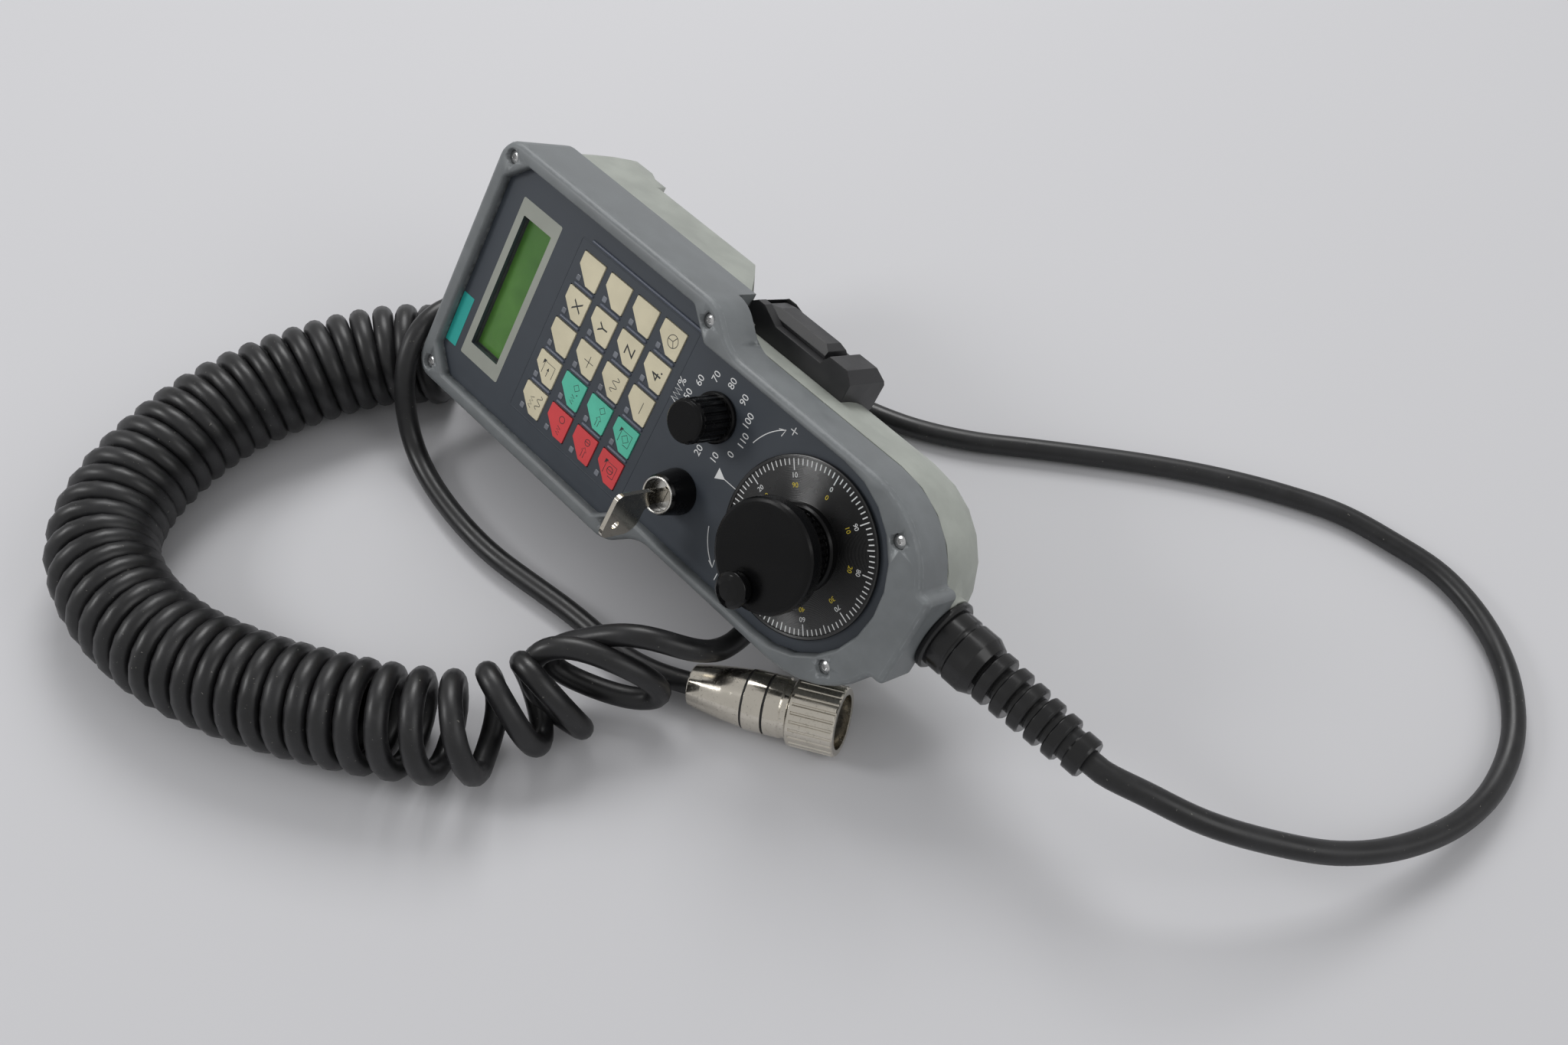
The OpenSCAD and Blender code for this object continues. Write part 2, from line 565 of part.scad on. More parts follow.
// Flat nuts that hold the encoder, the override switch and the key barrel on the panel
module nut(r, w) difference() {
  cylinder(h = nut_h - 0.2, r = w, $fn = 6);
  translate([0, 0, -1]) cylinder(h = nut_h + 2, r = r + run_gap);
}
module panel_nuts() color("silver") {
  nut(bush_r, bush_r + 3.4);
  at_override() nut(over_bush_r, over_bush_r + 2.2);
  at_lock() translate([0, 0, -panel_t - nut_h + 0.2]) nut(stem_r, stem_r + 3.4);
}

// ---- enabling switches -------------------------------------------------------------------------
guard_x = gw + side_out;
rail_x = guard_x - 4.5;
rail_t = 5;
pad_z0 = side_z0 + rail_t;
pad_z1 = side_z1 - rail_t;
hinge_x = gw + pin_d / 2;
hinge_y = side_y1 - 5;
bay_y = side_y0 + 14.5;
bay_x = gw - 6;
bay_l = side_y1 - bay_y - 20.5;
side_profile = [[pocket_x, side_y1], [guard_x - 2, side_y1], [guard_x, side_y1 - 2.5], [guard_x, side_y1 - 6],
    [rail_x, side_y1 - 15], [rail_x, side_y0 + 16], [guard_x, side_y0 + 13.5], [guard_x, side_y0 + 4],
    [guard_x - 4, side_y0], [pocket_x, side_y0]];
module enable_housing() color("black") difference() {
  intersection() {
    plate(side_profile, -side_z1, -side_z0);
    end_prism([[pocket_x, -side_z0], [guard_x + 1, -side_z0], [guard_x + 1, -side_z1 + 6],
        [guard_x - 6, -side_z1],
        [pocket_x + 4, -side_z1], [pocket_x, -side_z1 + 4]], side_y0 - 1, side_y1 + 1);
  }
  // bay of the button, open outwards, and the switch's place in its floor
  translate([gw - 2, bay_y, -pad_z1]) cube([2 * side_out, side_y1 - bay_y - 0.8, pad_z1 - pad_z0]);
  translate([bay_x, bay_y + 6, -pad_z1 + 3]) cube([2 * side_out, bay_l, pad_z1 - pad_z0 - 6]);
  translate([hinge_x, hinge_y, -side_z1 - 1]) cylinder(h = side_z1, r = pin_d / 2 + 0.02);
}
module enable_button() color("dimgray") difference() {
  lo = bay_y + pass_gap;
  intersection() {
    plate([[gw + 3.2, lo + 1], [gw + 6.4, lo + 0.2], [guard_x - 4.5, lo + 0.2], [guard_x - 4.5, lo + 3.2],
        [guard_x - 1.6, lo + 4],
        [guard_x, lo + 7], [guard_x, side_y1 - 9], [guard_x - 1.4, side_y1 - 3.4], [gw + 5.2, side_y1 - 1.2],
        [gw + 0.4, side_y1 - 1.6], [gw - 1.2, side_y1 - 3.2], [gw - 1.2, side_y1 - 8.5],
        [gw + 2.2, side_y1 - 12]],
        -pad_z1 + pass_gap, -pad_z0 - pass_gap);
    end_prism([[gw - 5, -pad_z0], [guard_x - 3.5, -pad_z0], [guard_x + 0.1, -pad_z0 - 3.5],
        [guard_x + 0.1, -pad_z1 + 3.5],
        [guard_x - 3.5, -pad_z1], [gw - 5, -pad_z1]], side_y0, side_y1);
  }
  translate([hinge_x, hinge_y, -side_z1]) cylinder(h = side_z1, r = pin_d / 2 + run_gap);
}
module enable_housing_left() mirror([1, 0, 0]) enable_housing();
module enable_housing_right() enable_housing();
module enable_button_left() mirror([1, 0, 0]) enable_button();
module enable_button_right() enable_button();
module hinge_pins() color("silver") both() translate([hinge_x, hinge_y, -side_z1 + 0.5])
  cylinder(h = side_z1 - side_z0 - 0.5, r = pin_d / 2);
switch_t = 0.19 * bay_l;
module micro_switches() color("firebrick") both() {
  translate([bay_x, bay_y + 6.4, -pad_z1 + 3.4]) cube([switch_t, bay_l - 1, pad_z1 - pad_z0 - 6.8]);
  translate([bay_x + switch_t, bay_y + bay_l / 2, -(pad_z0 + pad_z1) / 2 - switch_t / 2])
    cube([switch_t / 5, switch_t, switch_t]);
}

// ---- cord outlet -------------------------------------------------------------------------------
gland_thread_r = 6;
flange_t = 3;
cord_r = cord_d / 2;
bore_r = cord_r + 0.15;
relief_y = boss_drop + flange_t + cap_l + relief_l;
module at_gland() translate([0, 0, -gland_z]) rotate([90, 0, 0]) children();
module gland_body() color("black") at_gland() turned([[bore_r, boss_drop - 11],
    [gland_thread_r - run_gap, boss_drop - 11],
    [gland_thread_r - run_gap, boss_drop], [flange_d / 2 - 0.8, boss_drop], [flange_d / 2, boss_drop + 0.8],
    [flange_d / 2, boss_drop + flange_t - 0.8], [flange_d / 2 - 0.8, boss_drop + flange_t],
    [bore_r, boss_drop + flange_t]]);
cap_y0 = boss_drop + flange_t;
cap_y1 = cap_y0 + cap_l;
core_r = bore_r + 2;
module gland_cap() color("black") at_gland() intersection() {
  turned([[core_r + 3.3, cap_y0], [cap_d / 2, cap_y0], [cap_d / 2, cap_y0 + 6.2],
      [cap_d / 2 - 0.7, cap_y0 + 6.9],
      [cap_d / 2 - 0.7, cap_y0 + 7.9], [cap_d / 2, cap_y0 + 8.6], [cap_d / 2, cap_y1 - 4],
      [cap_d / 2 - 1.9, cap_y1],
      [core_r + run_gap, cap_y1], [core_r + run_gap, cap_y1 - 6], [core_r + 3.3, cap_y1 - 6]]);
  for (m = [0, 1]) rotate([0, 0, 90 * m]) translate([-cap_d, -cap_d * 0.465, 0])
      cube([2 * cap_d, cap_d * 0.93, cap_y1 + 1]);
}
module gland_seal() color("dimgray") at_gland() turned([[bore_r, cap_y0 + 0.3], [core_r + 3, cap_y0 + 0.3],
    [core_r + 3, cap_y1 - 9.2], [bore_r, cap_y1 - 9.2]]);
module bend_relief() color("black") at_gland() {
  y0 = cap_y1 - 9;
  turned([[bore_r, y0], [core_r + 3, y0], [core_r + 3, cap_y1 - 6.2], [core_r, cap_y1 - 6.2],
      [core_r, relief_y - 7],
      [8.1, relief_y - 6.4], [8.1, relief_y - 1], [7.4, relief_y], [bore_r, relief_y]]);
  pitch = (relief_l - 9) / relief_n;
  for (k = [0:relief_n - 1]) {
    r = cap_d / 2 - 1.9 - 1.5 * k / (relief_n - 1) * (relief_n > 1 ? 1 : 0);
    y = cap_y1 + 1.6 + k * pitch;
    turned([[core_r - 0.4, y], [r - 0.5, y], [r, y + 0.5], [r, y + pitch - 3.6],
        [r - 0.8, y + pitch - 2.8], [core_r - 0.4, y + pitch - 2.8]]);
  }
}

// ---- connector ---------------------------------------------------------------------------------
clamp_r = 8.4;
barrel_x = 0.38 * plug_l;
band_x = 0.63 * plug_l;
ring_x = plug_l - ring_l;
neck = barrel_d / 2 + 0.4;
mouth_x = plug_l - 6;
plug_tilt = atan((ring_d / 2 - neck) / (ring_x - barrel_x));
plug_turn = 26.6;
plug_at = [-13.6, -46.3, neck * cos(plug_tilt) - barrel_x * sin(plug_tilt) + 0.05];
// The connector's own x runs along its axis, from the cord to the mating end
module at_plug() translate(plug_at) rotate([0, -plug_tilt, plug_turn]) rotate([0, 90, 0]) children();
module connector_shell() color("silver") at_plug() {
  turned([[bore_r, 0], [clamp_r - 0.4, 0], [clamp_r, 0.5], [clamp_r + 1.1, barrel_x * 0.25],
      [barrel_d / 2 - 1, barrel_x * 0.62],
      [barrel_d / 2, barrel_x], [bore_r, barrel_x]]);
  turned([[bore_r, barrel_x], [neck - 1.2, barrel_x], [neck - 1.2, barrel_x + 1], [neck, barrel_x + 1],
      [neck, 0.52 * plug_l],
      [neck - 1.2, 0.52 * plug_l], [neck - 1.2, 0.52 * plug_l + 1], [neck, 0.52 * plug_l + 1], [neck, band_x],
      [neck - 0.6, band_x + 0.8], [neck - 0.6, ring_x + 3.8], [neck - 0.2, ring_x + 3.8],
      [neck - 0.2, ring_x + 6.6],
      [thread_r - 0.6, ring_x + 6.6], [thread_r - 0.6, mouth_x - 0.2], [thread_r - 1.9, mouth_x - 0.2],
      [thread_r - 1.9, band_x - 9],
      [bore_r, band_x - 9]]);
}
module connector_ring() color("silver") at_plug() difference() {
  turned([[neck - 0.6 + run_gap, ring_x], [ring_d / 2 - 0.9, ring_x], [ring_d / 2, ring_x + 0.9],
      [ring_d / 2, plug_l - 0.7],
      [ring_d / 2 - 0.7, plug_l], [thread_r, plug_l], [thread_r, mouth_x], [thread_r - 0.3, mouth_x],
      [thread_r - 0.3, ring_x + 7], [neck - 0.2 + pass_gap, ring_x + 7],
      [neck - 0.2 + pass_gap, ring_x + 3.5], [neck - 0.6 + run_gap, ring_x + 3.5]]);
  for (k = [0:flutes - 1]) rotate([0, 0, 360 / flutes * k]) translate([ring_d / 2 + 0.1, 0, ring_x + 2])
    cylinder(h = ring_l, r = 0.6, $fn = 16);
}
module connector_insert() color("darkslategray") at_plug() {
  difference() {
    translate([0, 0, band_x - 8.9]) cylinder(h = mouth_x - 2.5 - band_x + 8.9, r = thread_r - 1.9 - run_gap);
    translate([0, 0, mouth_x - 3.1]) cylinder(h = 1, r = 1);
  }
  for (k = [0:11]) rotate([0, 0, 30 * k]) translate([(k % 2 == 0 ? 6.6 : 4), 0, mouth_x - 2.5])
      cylinder(h = 2.2, r = 0.5, $fn = 16);
}
module connector_seals() color("black") at_plug() for (x = [barrel_x, 0.52 * plug_l])
  tube(neck - 1.15, neck - 0.3, x + 0.1, x + 0.9);

// ---- cord --------------------------------------------------------------------------------------
// Places along the cord, on the table under the housing, seen from the handwheel's foot
coil_route = [[-219, -16], [-232, -29], [-242, -45], [-250, -65], [-256, -88], [-258, -112], [-254, -138],
    [-244, -164],
    [-226, -184], [-199, -192], [-163, -190], [-129, -178], [-98, -161], [-74, -145], [-53, -127],
    [-40, -107]];
lead_route = [[150, 24, 48], [170, 34, 41], [190, 50, 32], [208, 69, 23], [222, 93, 15], [231, 121, 9],
    [232, 146, 6],
    [225, 172, 5], [209, 195, 5], [188, 211, 5], [163, 220, 5], [138, 220, 5], [114, 217, 5], [90, 208, 5],
    [66, 196, 5],
    [43, 182, 5], [20, 166, 5], [-3, 149, 5], [-26, 132, 5], [-50, 119, 5], [-78, 110, 5], [-110, 103, 5],
    [-142, 94, 5],
    [-172, 82, 5], [-196, 68, 5], [-214, 50, 5.2], [-225, 32, 5],
    [-229, 14, 5], [-227, -2, 5], [-219.5, -14.5, 5.2], [-216, -18, 5.6]];
tail_route = [[-43, -111, 24], [-34, -93, 26], [-29, -75, 24], [-25, -58, 22], [-22, -43, 20],
    [-19, -29, 17], [-18, -15, 12],
    [-20, 0, 6], [-20, 20, 5], [-22, 40, 5], [-29, 58, 5], [-44, 72, 5], [-66, 79, 5], [-92, 80, 5],
    [-120, 76, 5],
    [-148, 68, 5], [-175, 56, 7], [-197, 43, 14], [-210, 29, 27], [-215, 12, 41], [-216, -6, 51],
    [-215, -22, 53],
    [-212, -34, 48], [-207, -43, 36], [-203, -48, 22], [-194, -53, 9], [-176, -58, 5], [-150, -62, 5],
    [-124, -63, 5],
    [-98, -60, 5], [-72, -57, 5], [-50, -57, 6], [-34, -55, 8]];
// Where a place on the housing lands once the housing is laid down, seen from the handwheel's foot
function laid(p) = let (y = p.x * cos(tip) - p.z * sin(tip), z = p.x * sin(tip) + p.z * cos(tip))
    [-p.y * cos(raise) + z * sin(raise), y, p.y * sin(raise) + z * cos(raise) + lift];
plug_axis = [cos(plug_tilt) * cos(plug_turn), cos(plug_tilt) * sin(plug_turn), sin(plug_tilt)];
coil_r = coil_d / 2;
// A tube of n sides along a route, each ring square to the route there
module sweep(route, r, n) {
  last = len(route) - 1;
  function heading(k) = unit(route[min(k + 1, last)] - route[max(k - 1, 0)]);
  rings = [for (k = [0:last]) let (t = heading(k), s = unit(cross(t, [0, 0, 1])), u = cross(s, t))
      for (i = [0:n - 1]) route[k] + r * (cos(360 * i / n) * s + sin(360 * i / n) * u)];
  faces = concat([[for (i = [n - 1:-1:0]) i]], [[for (i = [0:n - 1]) last * n + i]],
      [for (k = [0:last - 1]) for (i = [0:n - 1]) [k * n + (i + 1) % n, (k + 1) * n + (i + 1) % n,
      (k + 1) * n + i, k * n + i]]);
  polyhedron(rings, faces);
}
module lead() color("black") sweep(concat([for (y = [boss_drop, relief_y - 2, relief_y + 6]) laid([0, -y,
    -gland_z])], lead_route), cord_r, 10);
module coil() color("black") sweep([for (p = coil_route) [p.x, p.y, coil_r + 0.3]], coil_r, 12);
module tail() color("black") sweep(concat(tail_route, [for (x = [-8, 1, 12]) plug_at + x * plug_axis]),
    cord_r, 10);

// The housing laid on its left edge, with the cord beside it
module lay() translate([shift_x, shift_y, lift]) rotate([tip, raise, 0]) rotate([0, 0, 90]) children();
module beside() translate([shift_x, shift_y, 0]) children();

lay() front_frame();
lay() front_panel();
lay() display_window();
lay() display_module();
lay() frame_seal();
lay() rear_shell();
lay() front_screws();
lay() main_board();
lay() keypad_board();
lay() handwheel_dial();
lay() handwheel_knob();
lay() crank_grip();
lay() crank_pin();
lay() encoder_body();
lay() encoder_shaft();
lay() override_knob();
lay() override_switch();
lay() override_shaft();
lay() key_barrel();
lay() lock_cylinder();
lay() switch_key();
lay() key_contact_block();
lay() enable_housing_left();
lay() enable_housing_right();
lay() enable_button_left();
lay() enable_button_right();
lay() hinge_pins();
lay() micro_switches();
lay() panel_nuts();
lay() gland_body();
lay() gland_cap();
lay() gland_seal();
lay() bend_relief();
beside() lead();
beside() coil();
beside() tail();
beside() connector_shell();
beside() connector_ring();
beside() connector_insert();
beside() connector_seals();
for (r = [1:4]) for (c = [1:5]) lay() key(r, c);
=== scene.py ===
import math

import bpy
from mathutils import Matrix, Vector


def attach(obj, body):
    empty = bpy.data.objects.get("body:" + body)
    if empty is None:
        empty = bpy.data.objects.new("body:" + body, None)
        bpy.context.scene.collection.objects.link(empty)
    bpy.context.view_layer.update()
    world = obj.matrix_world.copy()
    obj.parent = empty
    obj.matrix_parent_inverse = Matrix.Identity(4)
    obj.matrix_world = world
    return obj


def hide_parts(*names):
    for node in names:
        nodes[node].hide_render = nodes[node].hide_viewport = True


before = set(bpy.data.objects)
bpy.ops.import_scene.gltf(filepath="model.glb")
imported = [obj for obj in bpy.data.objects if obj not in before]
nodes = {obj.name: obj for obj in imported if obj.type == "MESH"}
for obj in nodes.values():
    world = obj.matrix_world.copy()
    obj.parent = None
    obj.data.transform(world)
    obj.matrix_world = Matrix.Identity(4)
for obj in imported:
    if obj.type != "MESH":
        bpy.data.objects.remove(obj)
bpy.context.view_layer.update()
bpy.ops.object.select_all(action="DESELECT")
mm = 0.001
print("frame loaded:", len(nodes), "nodes")

# Sizes are in millimetres and angles in degrees. In metres are only the places of the housing and the
# camera, the floor and the lamps

# How the housing lies: its own frame has x across the face, y towards the display and z out of the face
lie = {"tip": 56, "raise": 3.5, "place": (0.040, -0.0185, 0.0715)}
layDown = (Matrix.Translation(lie["place"]) @ Matrix.Rotation(math.radians(lie["raise"]), 4, "Y")
           @ Matrix.Rotation(math.radians(lie["tip"]), 4, "X") @ Matrix.Rotation(math.radians(90), 4, "Z"))
outOfFace = (layDown.to_3x3() @ Vector((0, 0, 1))).normalized()


def onHousing(x, y, z=0):
    return layDown @ Vector((x * mm, y * mm, z * mm))


def pick(made):
    bpy.ops.object.select_all(action="DESELECT")
    bpy.context.view_layer.objects.active = made
    made.select_set(True)


# Camera
camera = {"place": (0.29619, -0.27173, 0.55027), "right": (0.69225, 0.72165, -0.0022),
          "ahead": (-0.44388, 0.42339, -0.78975), "lens": 36.49}


def makeCamera():
    right = Vector(camera["right"]).normalized()
    ahead = Vector(camera["ahead"]).normalized()
    up = right.cross(ahead).normalized()
    data = bpy.data.cameras.new("camera")
    data.lens = camera["lens"]
    data.sensor_width = 36
    data.clip_start = 0.01
    made = bpy.data.objects.new("camera", data)
    turn = Matrix((right, up, -ahead)).transposed().to_4x4()
    made.matrix_world = Matrix.Translation(camera["place"]) @ turn
    bpy.context.scene.collection.objects.link(made)
    bpy.context.scene.camera = made


makeCamera()
print("camera set")

# Cord: a plain lead, the coil, turns that have come loose, and the tail under the housing to the plug
cord = {
    "diameter": 9.2, "coilDiameter": 45.6, "roundness": 5, "tableGap": 0.3,
    "length": 6.4,  # metres
    "shift": (40, -18.5, 0),  # all places below count from the table under the handwheel's middle
    "lead": [(150, 24, 48), (170, 34, 41), (190, 50, 32), (208, 69, 23), (222, 93, 15), (231, 121, 9),
             (232, 146, 6), (225, 172, 5), (209, 195, 5), (188, 211, 5), (163, 220, 5), (138, 220, 5),
             (114, 217, 5), (90, 208, 5), (66, 196, 5), (43, 182, 5), (20, 166, 5), (-3, 149, 5),
             (-26, 132, 5), (-50, 119, 5), (-78, 110, 5), (-110, 103, 5), (-142, 94, 5), (-172, 82, 5),
             (-196, 68, 5), (-214, 50, 5.2), (-225, 32, 5), (-229, 14, 5), (-227, -2, 5)],
    "coil": [(-219, -16), (-232, -29), (-242, -45), (-250, -65), (-256, -88), (-258, -112), (-254, -138),
             (-244, -164), (-226, -184), (-199, -192), (-163, -190), (-129, -178), (-98, -161), (-74, -145),
             (-53, -127), (-40, -107)],
    "loose": [(-59, -106, 16), (-64, -108, 34), (-58, -111, 41), (-47, -113, 39), (-36, -114, 28),
              (-31, -112, 13), (-35, -105, 5.5), (-45, -98.5, 8), (-55, -94, 20), (-58, -96, 34),
              (-53, -99, 42), (-41, -98.5, 39), (-30.5, -96, 27), (-25, -91.5, 12), (-28, -89, 5.5),
              (-37, -91.5, 6), (-45, -95, 9), (-50.9, -96.8, 20), (-53.2, -95.9, 34), (-51.9, -91.3, 42),
              (-48, -85.6, 44), (-37.2, -77.5, 42), (-25.2, -70.6, 38), (-17.3, -64, 30),
              (-12.6, -59.4, 22), (-12.4, -58.6, 15), (-17, -62.4, 10.5), (-28.2, -70.9, 10.5),
              (-40, -76.8, 12), (-50.1, -81.7, 14), (-56, -86, 19), (-57.6, -87.6, 25), (-56, -84.7, 30),
              (-51.5, -79.2, 33), (-45.2, -73.8, 36), (-37.7, -68.3, 42), (-27.3, -60.2, 46),
              (-17.4, -52.5, 42), (-9, -43.9, 34), (-9, -31, 25), (-14, -19, 17)],
    "tail": [(-18, -8, 9.5), (-20, 0, 6), (-20, 20, 5), (-22, 40, 5), (-29, 58, 5), (-44, 72, 5),
             (-66, 79, 5), (-92, 80, 5), (-120, 76, 5), (-148, 68, 5), (-175, 56, 7), (-197, 43, 14),
             (-210, 29, 27), (-215, 12, 41), (-216, -6, 51), (-215, -22, 53), (-212, -34, 48),
             (-207, -43, 36), (-203, -48, 22), (-194, -53, 9), (-176, -58, 5), (-150, -62, 5),
             (-124, -63, 5), (-98, -60, 5), (-72, -57, 5), (-50, -57, 6), (-34, -55, 8)],
    "reliefEnd": 129.5, "glandDepth": 22, "exitPoints": (-3, 6),  # where it leaves the bend relief
    "plugPoints": (-8, 1, 12),  # its way into the plug, along the plug's axis
    "tightTurns": 36, "tightPitch": 9.3, "openTurns": [10.5, 12, 13.5, 15], "pointsPerTurn": 20,
    "leadStep": 4, "tailStep": 3, "axisStep": 1, "easing": 20,
}
plug = {"barrelWidth": 23.7, "ringWidth": 28, "length": 63, "ringLength": 20, "clampShare": 0.38,
        "neckWall": 0.4, "tableGap": 0.05, "turn": 26.6, "back": (-13.6, -46.3)}
plugNeck = plug["barrelWidth"] / 2 + plug["neckWall"]
plugClamp = plug["clampShare"] * plug["length"]
plugTilt = math.atan((plug["ringWidth"] / 2 - plugNeck) / (plug["length"] - plug["ringLength"] - plugClamp))
plugTurn = math.radians(plug["turn"])
plugAxis = Vector((math.cos(plugTilt) * math.cos(plugTurn), math.cos(plugTilt) * math.sin(plugTurn),
                   math.sin(plugTilt)))
plugBack = Vector((*plug["back"],
                   plugNeck * math.cos(plugTilt) - plugClamp * math.sin(plugTilt) + plug["tableGap"]))


def onTable(p):
    return (Vector(p) + Vector(cord["shift"])) * mm


def flow(points, step):
    # an even run of points on a smooth line through the given ones
    ends = [points[0] * 2 - points[1]] + points + [points[-1] * 2 - points[-2]]
    run = []
    for k in range(1, len(ends) - 2):
        a, b, c, d = ends[k - 1:k + 3]
        knots = [0.0]
        for p, q in ((a, b), (b, c), (c, d)):
            knots.append(knots[-1] + max((q - p).length, 1e-6) ** 0.5)
        count = max(1, round((c - b).length / step))
        for i in range(count):
            t = knots[1] + (knots[2] - knots[1]) * i / count
            ab = a.lerp(b, (t - knots[0]) / (knots[1] - knots[0]))
            bc = b.lerp(c, (t - knots[1]) / (knots[2] - knots[1]))
            cd = c.lerp(d, (t - knots[2]) / (knots[3] - knots[2]))
            abc = ab.lerp(bc, (t - knots[0]) / (knots[2] - knots[0]))
            bcd = bc.lerp(cd, (t - knots[1]) / (knots[3] - knots[1]))
            run.append(abc.lerp(bcd, (t - knots[1]) / (knots[2] - knots[1])))
    return run + [points[-1]]


def wound():
    # the coil's turns round its own smooth line
    radius = cord["coilDiameter"] / 2 * mm
    rise = Vector((0, 0, radius + cord["tableGap"] * mm))
    axis = flow([onTable((x, y, 0)) + rise for x, y in cord["coil"]], cord["axisStep"] * mm)
    along = [0.0]
    for p, q in zip(axis, axis[1:]):
        along.append(along[-1] + (q - p).length)
    pitches = [cord["tightPitch"]] * cord["tightTurns"] + cord["openTurns"]
    turnRadius = radius - cord["diameter"] / 2 * mm
    run, start, place = [], 0.0, 0
    for pitch in pitches:
        for k in range(cord["pointsPerTurn"]):
            share = k / cord["pointsPerTurn"]
            s = (start + pitch * share) * mm
            while place < len(axis) - 2 and along[place + 1] < s:
                place += 1
            a, b = axis[place], axis[place + 1]
            centre = a.lerp(b, (s - along[place]) / (along[place + 1] - along[place]))
            # the axis' direction, evened out over a few points either way
            t = (axis[min(place + 6, len(axis) - 1)] - axis[max(place - 5, 0)]).normalized()
            side = Vector((t.y, -t.x, 0)).normalized()
            angle = math.pi + 2 * math.pi * share
            run.append(centre + turnRadius * (math.cos(angle) * Vector((0, 0, 1)) + math.sin(angle) * side))
        start += pitch
    return run


def eased(points, passes, low):
    # rounds off the sharpest bends; both ends stay
    for _ in range(passes):
        inner = [a * 0.25 + b * 0.5 + c * 0.25 for a, b, c in zip(points, points[1:], points[2:])]
        points = [points[0]] + inner + [points[-1]]
        for p in points:
            p.z = max(p.z, low)
    return points


def makeCord():
    gap, deep = cord["reliefEnd"], -cord["glandDepth"]
    leaving = [onHousing(0, -(gap + x), deep) for x in cord["exitPoints"]]
    coil = wound()
    leadRun = flow(leaving + [onTable(p) for p in cord["lead"]] + coil[2:4], cord["leadStep"] * mm)
    tailPoints = [onTable(p) for p in cord["loose"] + cord["tail"]]
    tailPoints += [onTable(plugBack + x * plugAxis) for x in cord["plugPoints"]]
    tailRun = eased(flow(coil[-2:] + tailPoints, cord["tailStep"] * mm), cord["easing"],
                    (cord["diameter"] / 2 + cord["tableGap"]) * mm)
    # lead and tail run on into the coil's first and last points, so both joins are smooth
    points = leadRun[:-1] + coil[3:-2] + tailRun
    data = bpy.data.curves.new("cord", "CURVE")
    data.dimensions = "3D"
    data.bevel_depth = cord["diameter"] / 2 * mm
    data.bevel_resolution = cord["roundness"]
    data.use_fill_caps = True
    line = data.splines.new("POLY")
    line.points.add(len(points) - 1)
    for place, p in zip(line.points, points):
        place.co = (*p, 1)
    line.use_smooth = True
    made = bpy.data.objects.new("cord", data)
    bpy.context.scene.collection.objects.link(made)
    long = sum((q - p).length for p, q in zip(points, points[1:]))
    print("cord:", len(points), "points,", round(long, 3), "m")
    pick(made)
    bpy.ops.object.convert(target="MESH")
    made = bpy.context.object
    made.select_set(False)
    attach(made, "housing")
    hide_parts("lead", "coil", "tail")
    tuple(onHousing(0, -gap, deep))
    cord["diameter"] * mm
    return made


cordPiece = makeCord()


# Finishes: shader maths is written as ordinary sums of wires, each of them a shader socket
class Wire:
    def __init__(self, owner, socket):
        self.owner, self.socket = owner, socket

    def __add__(self, other):
        return self.owner.maths("ADD", self, other)

    __radd__ = __add__

    def __sub__(self, other):
        return self.owner.maths("SUBTRACT", self, other)

    def __rsub__(self, other):
        return self.owner.maths("SUBTRACT", other, self)

    def __mul__(self, other):
        return self.owner.maths("MULTIPLY", self, other)

    __rmul__ = __mul__

    def __gt__(self, other):
        return self.owner.maths("GREATER_THAN", self, other)


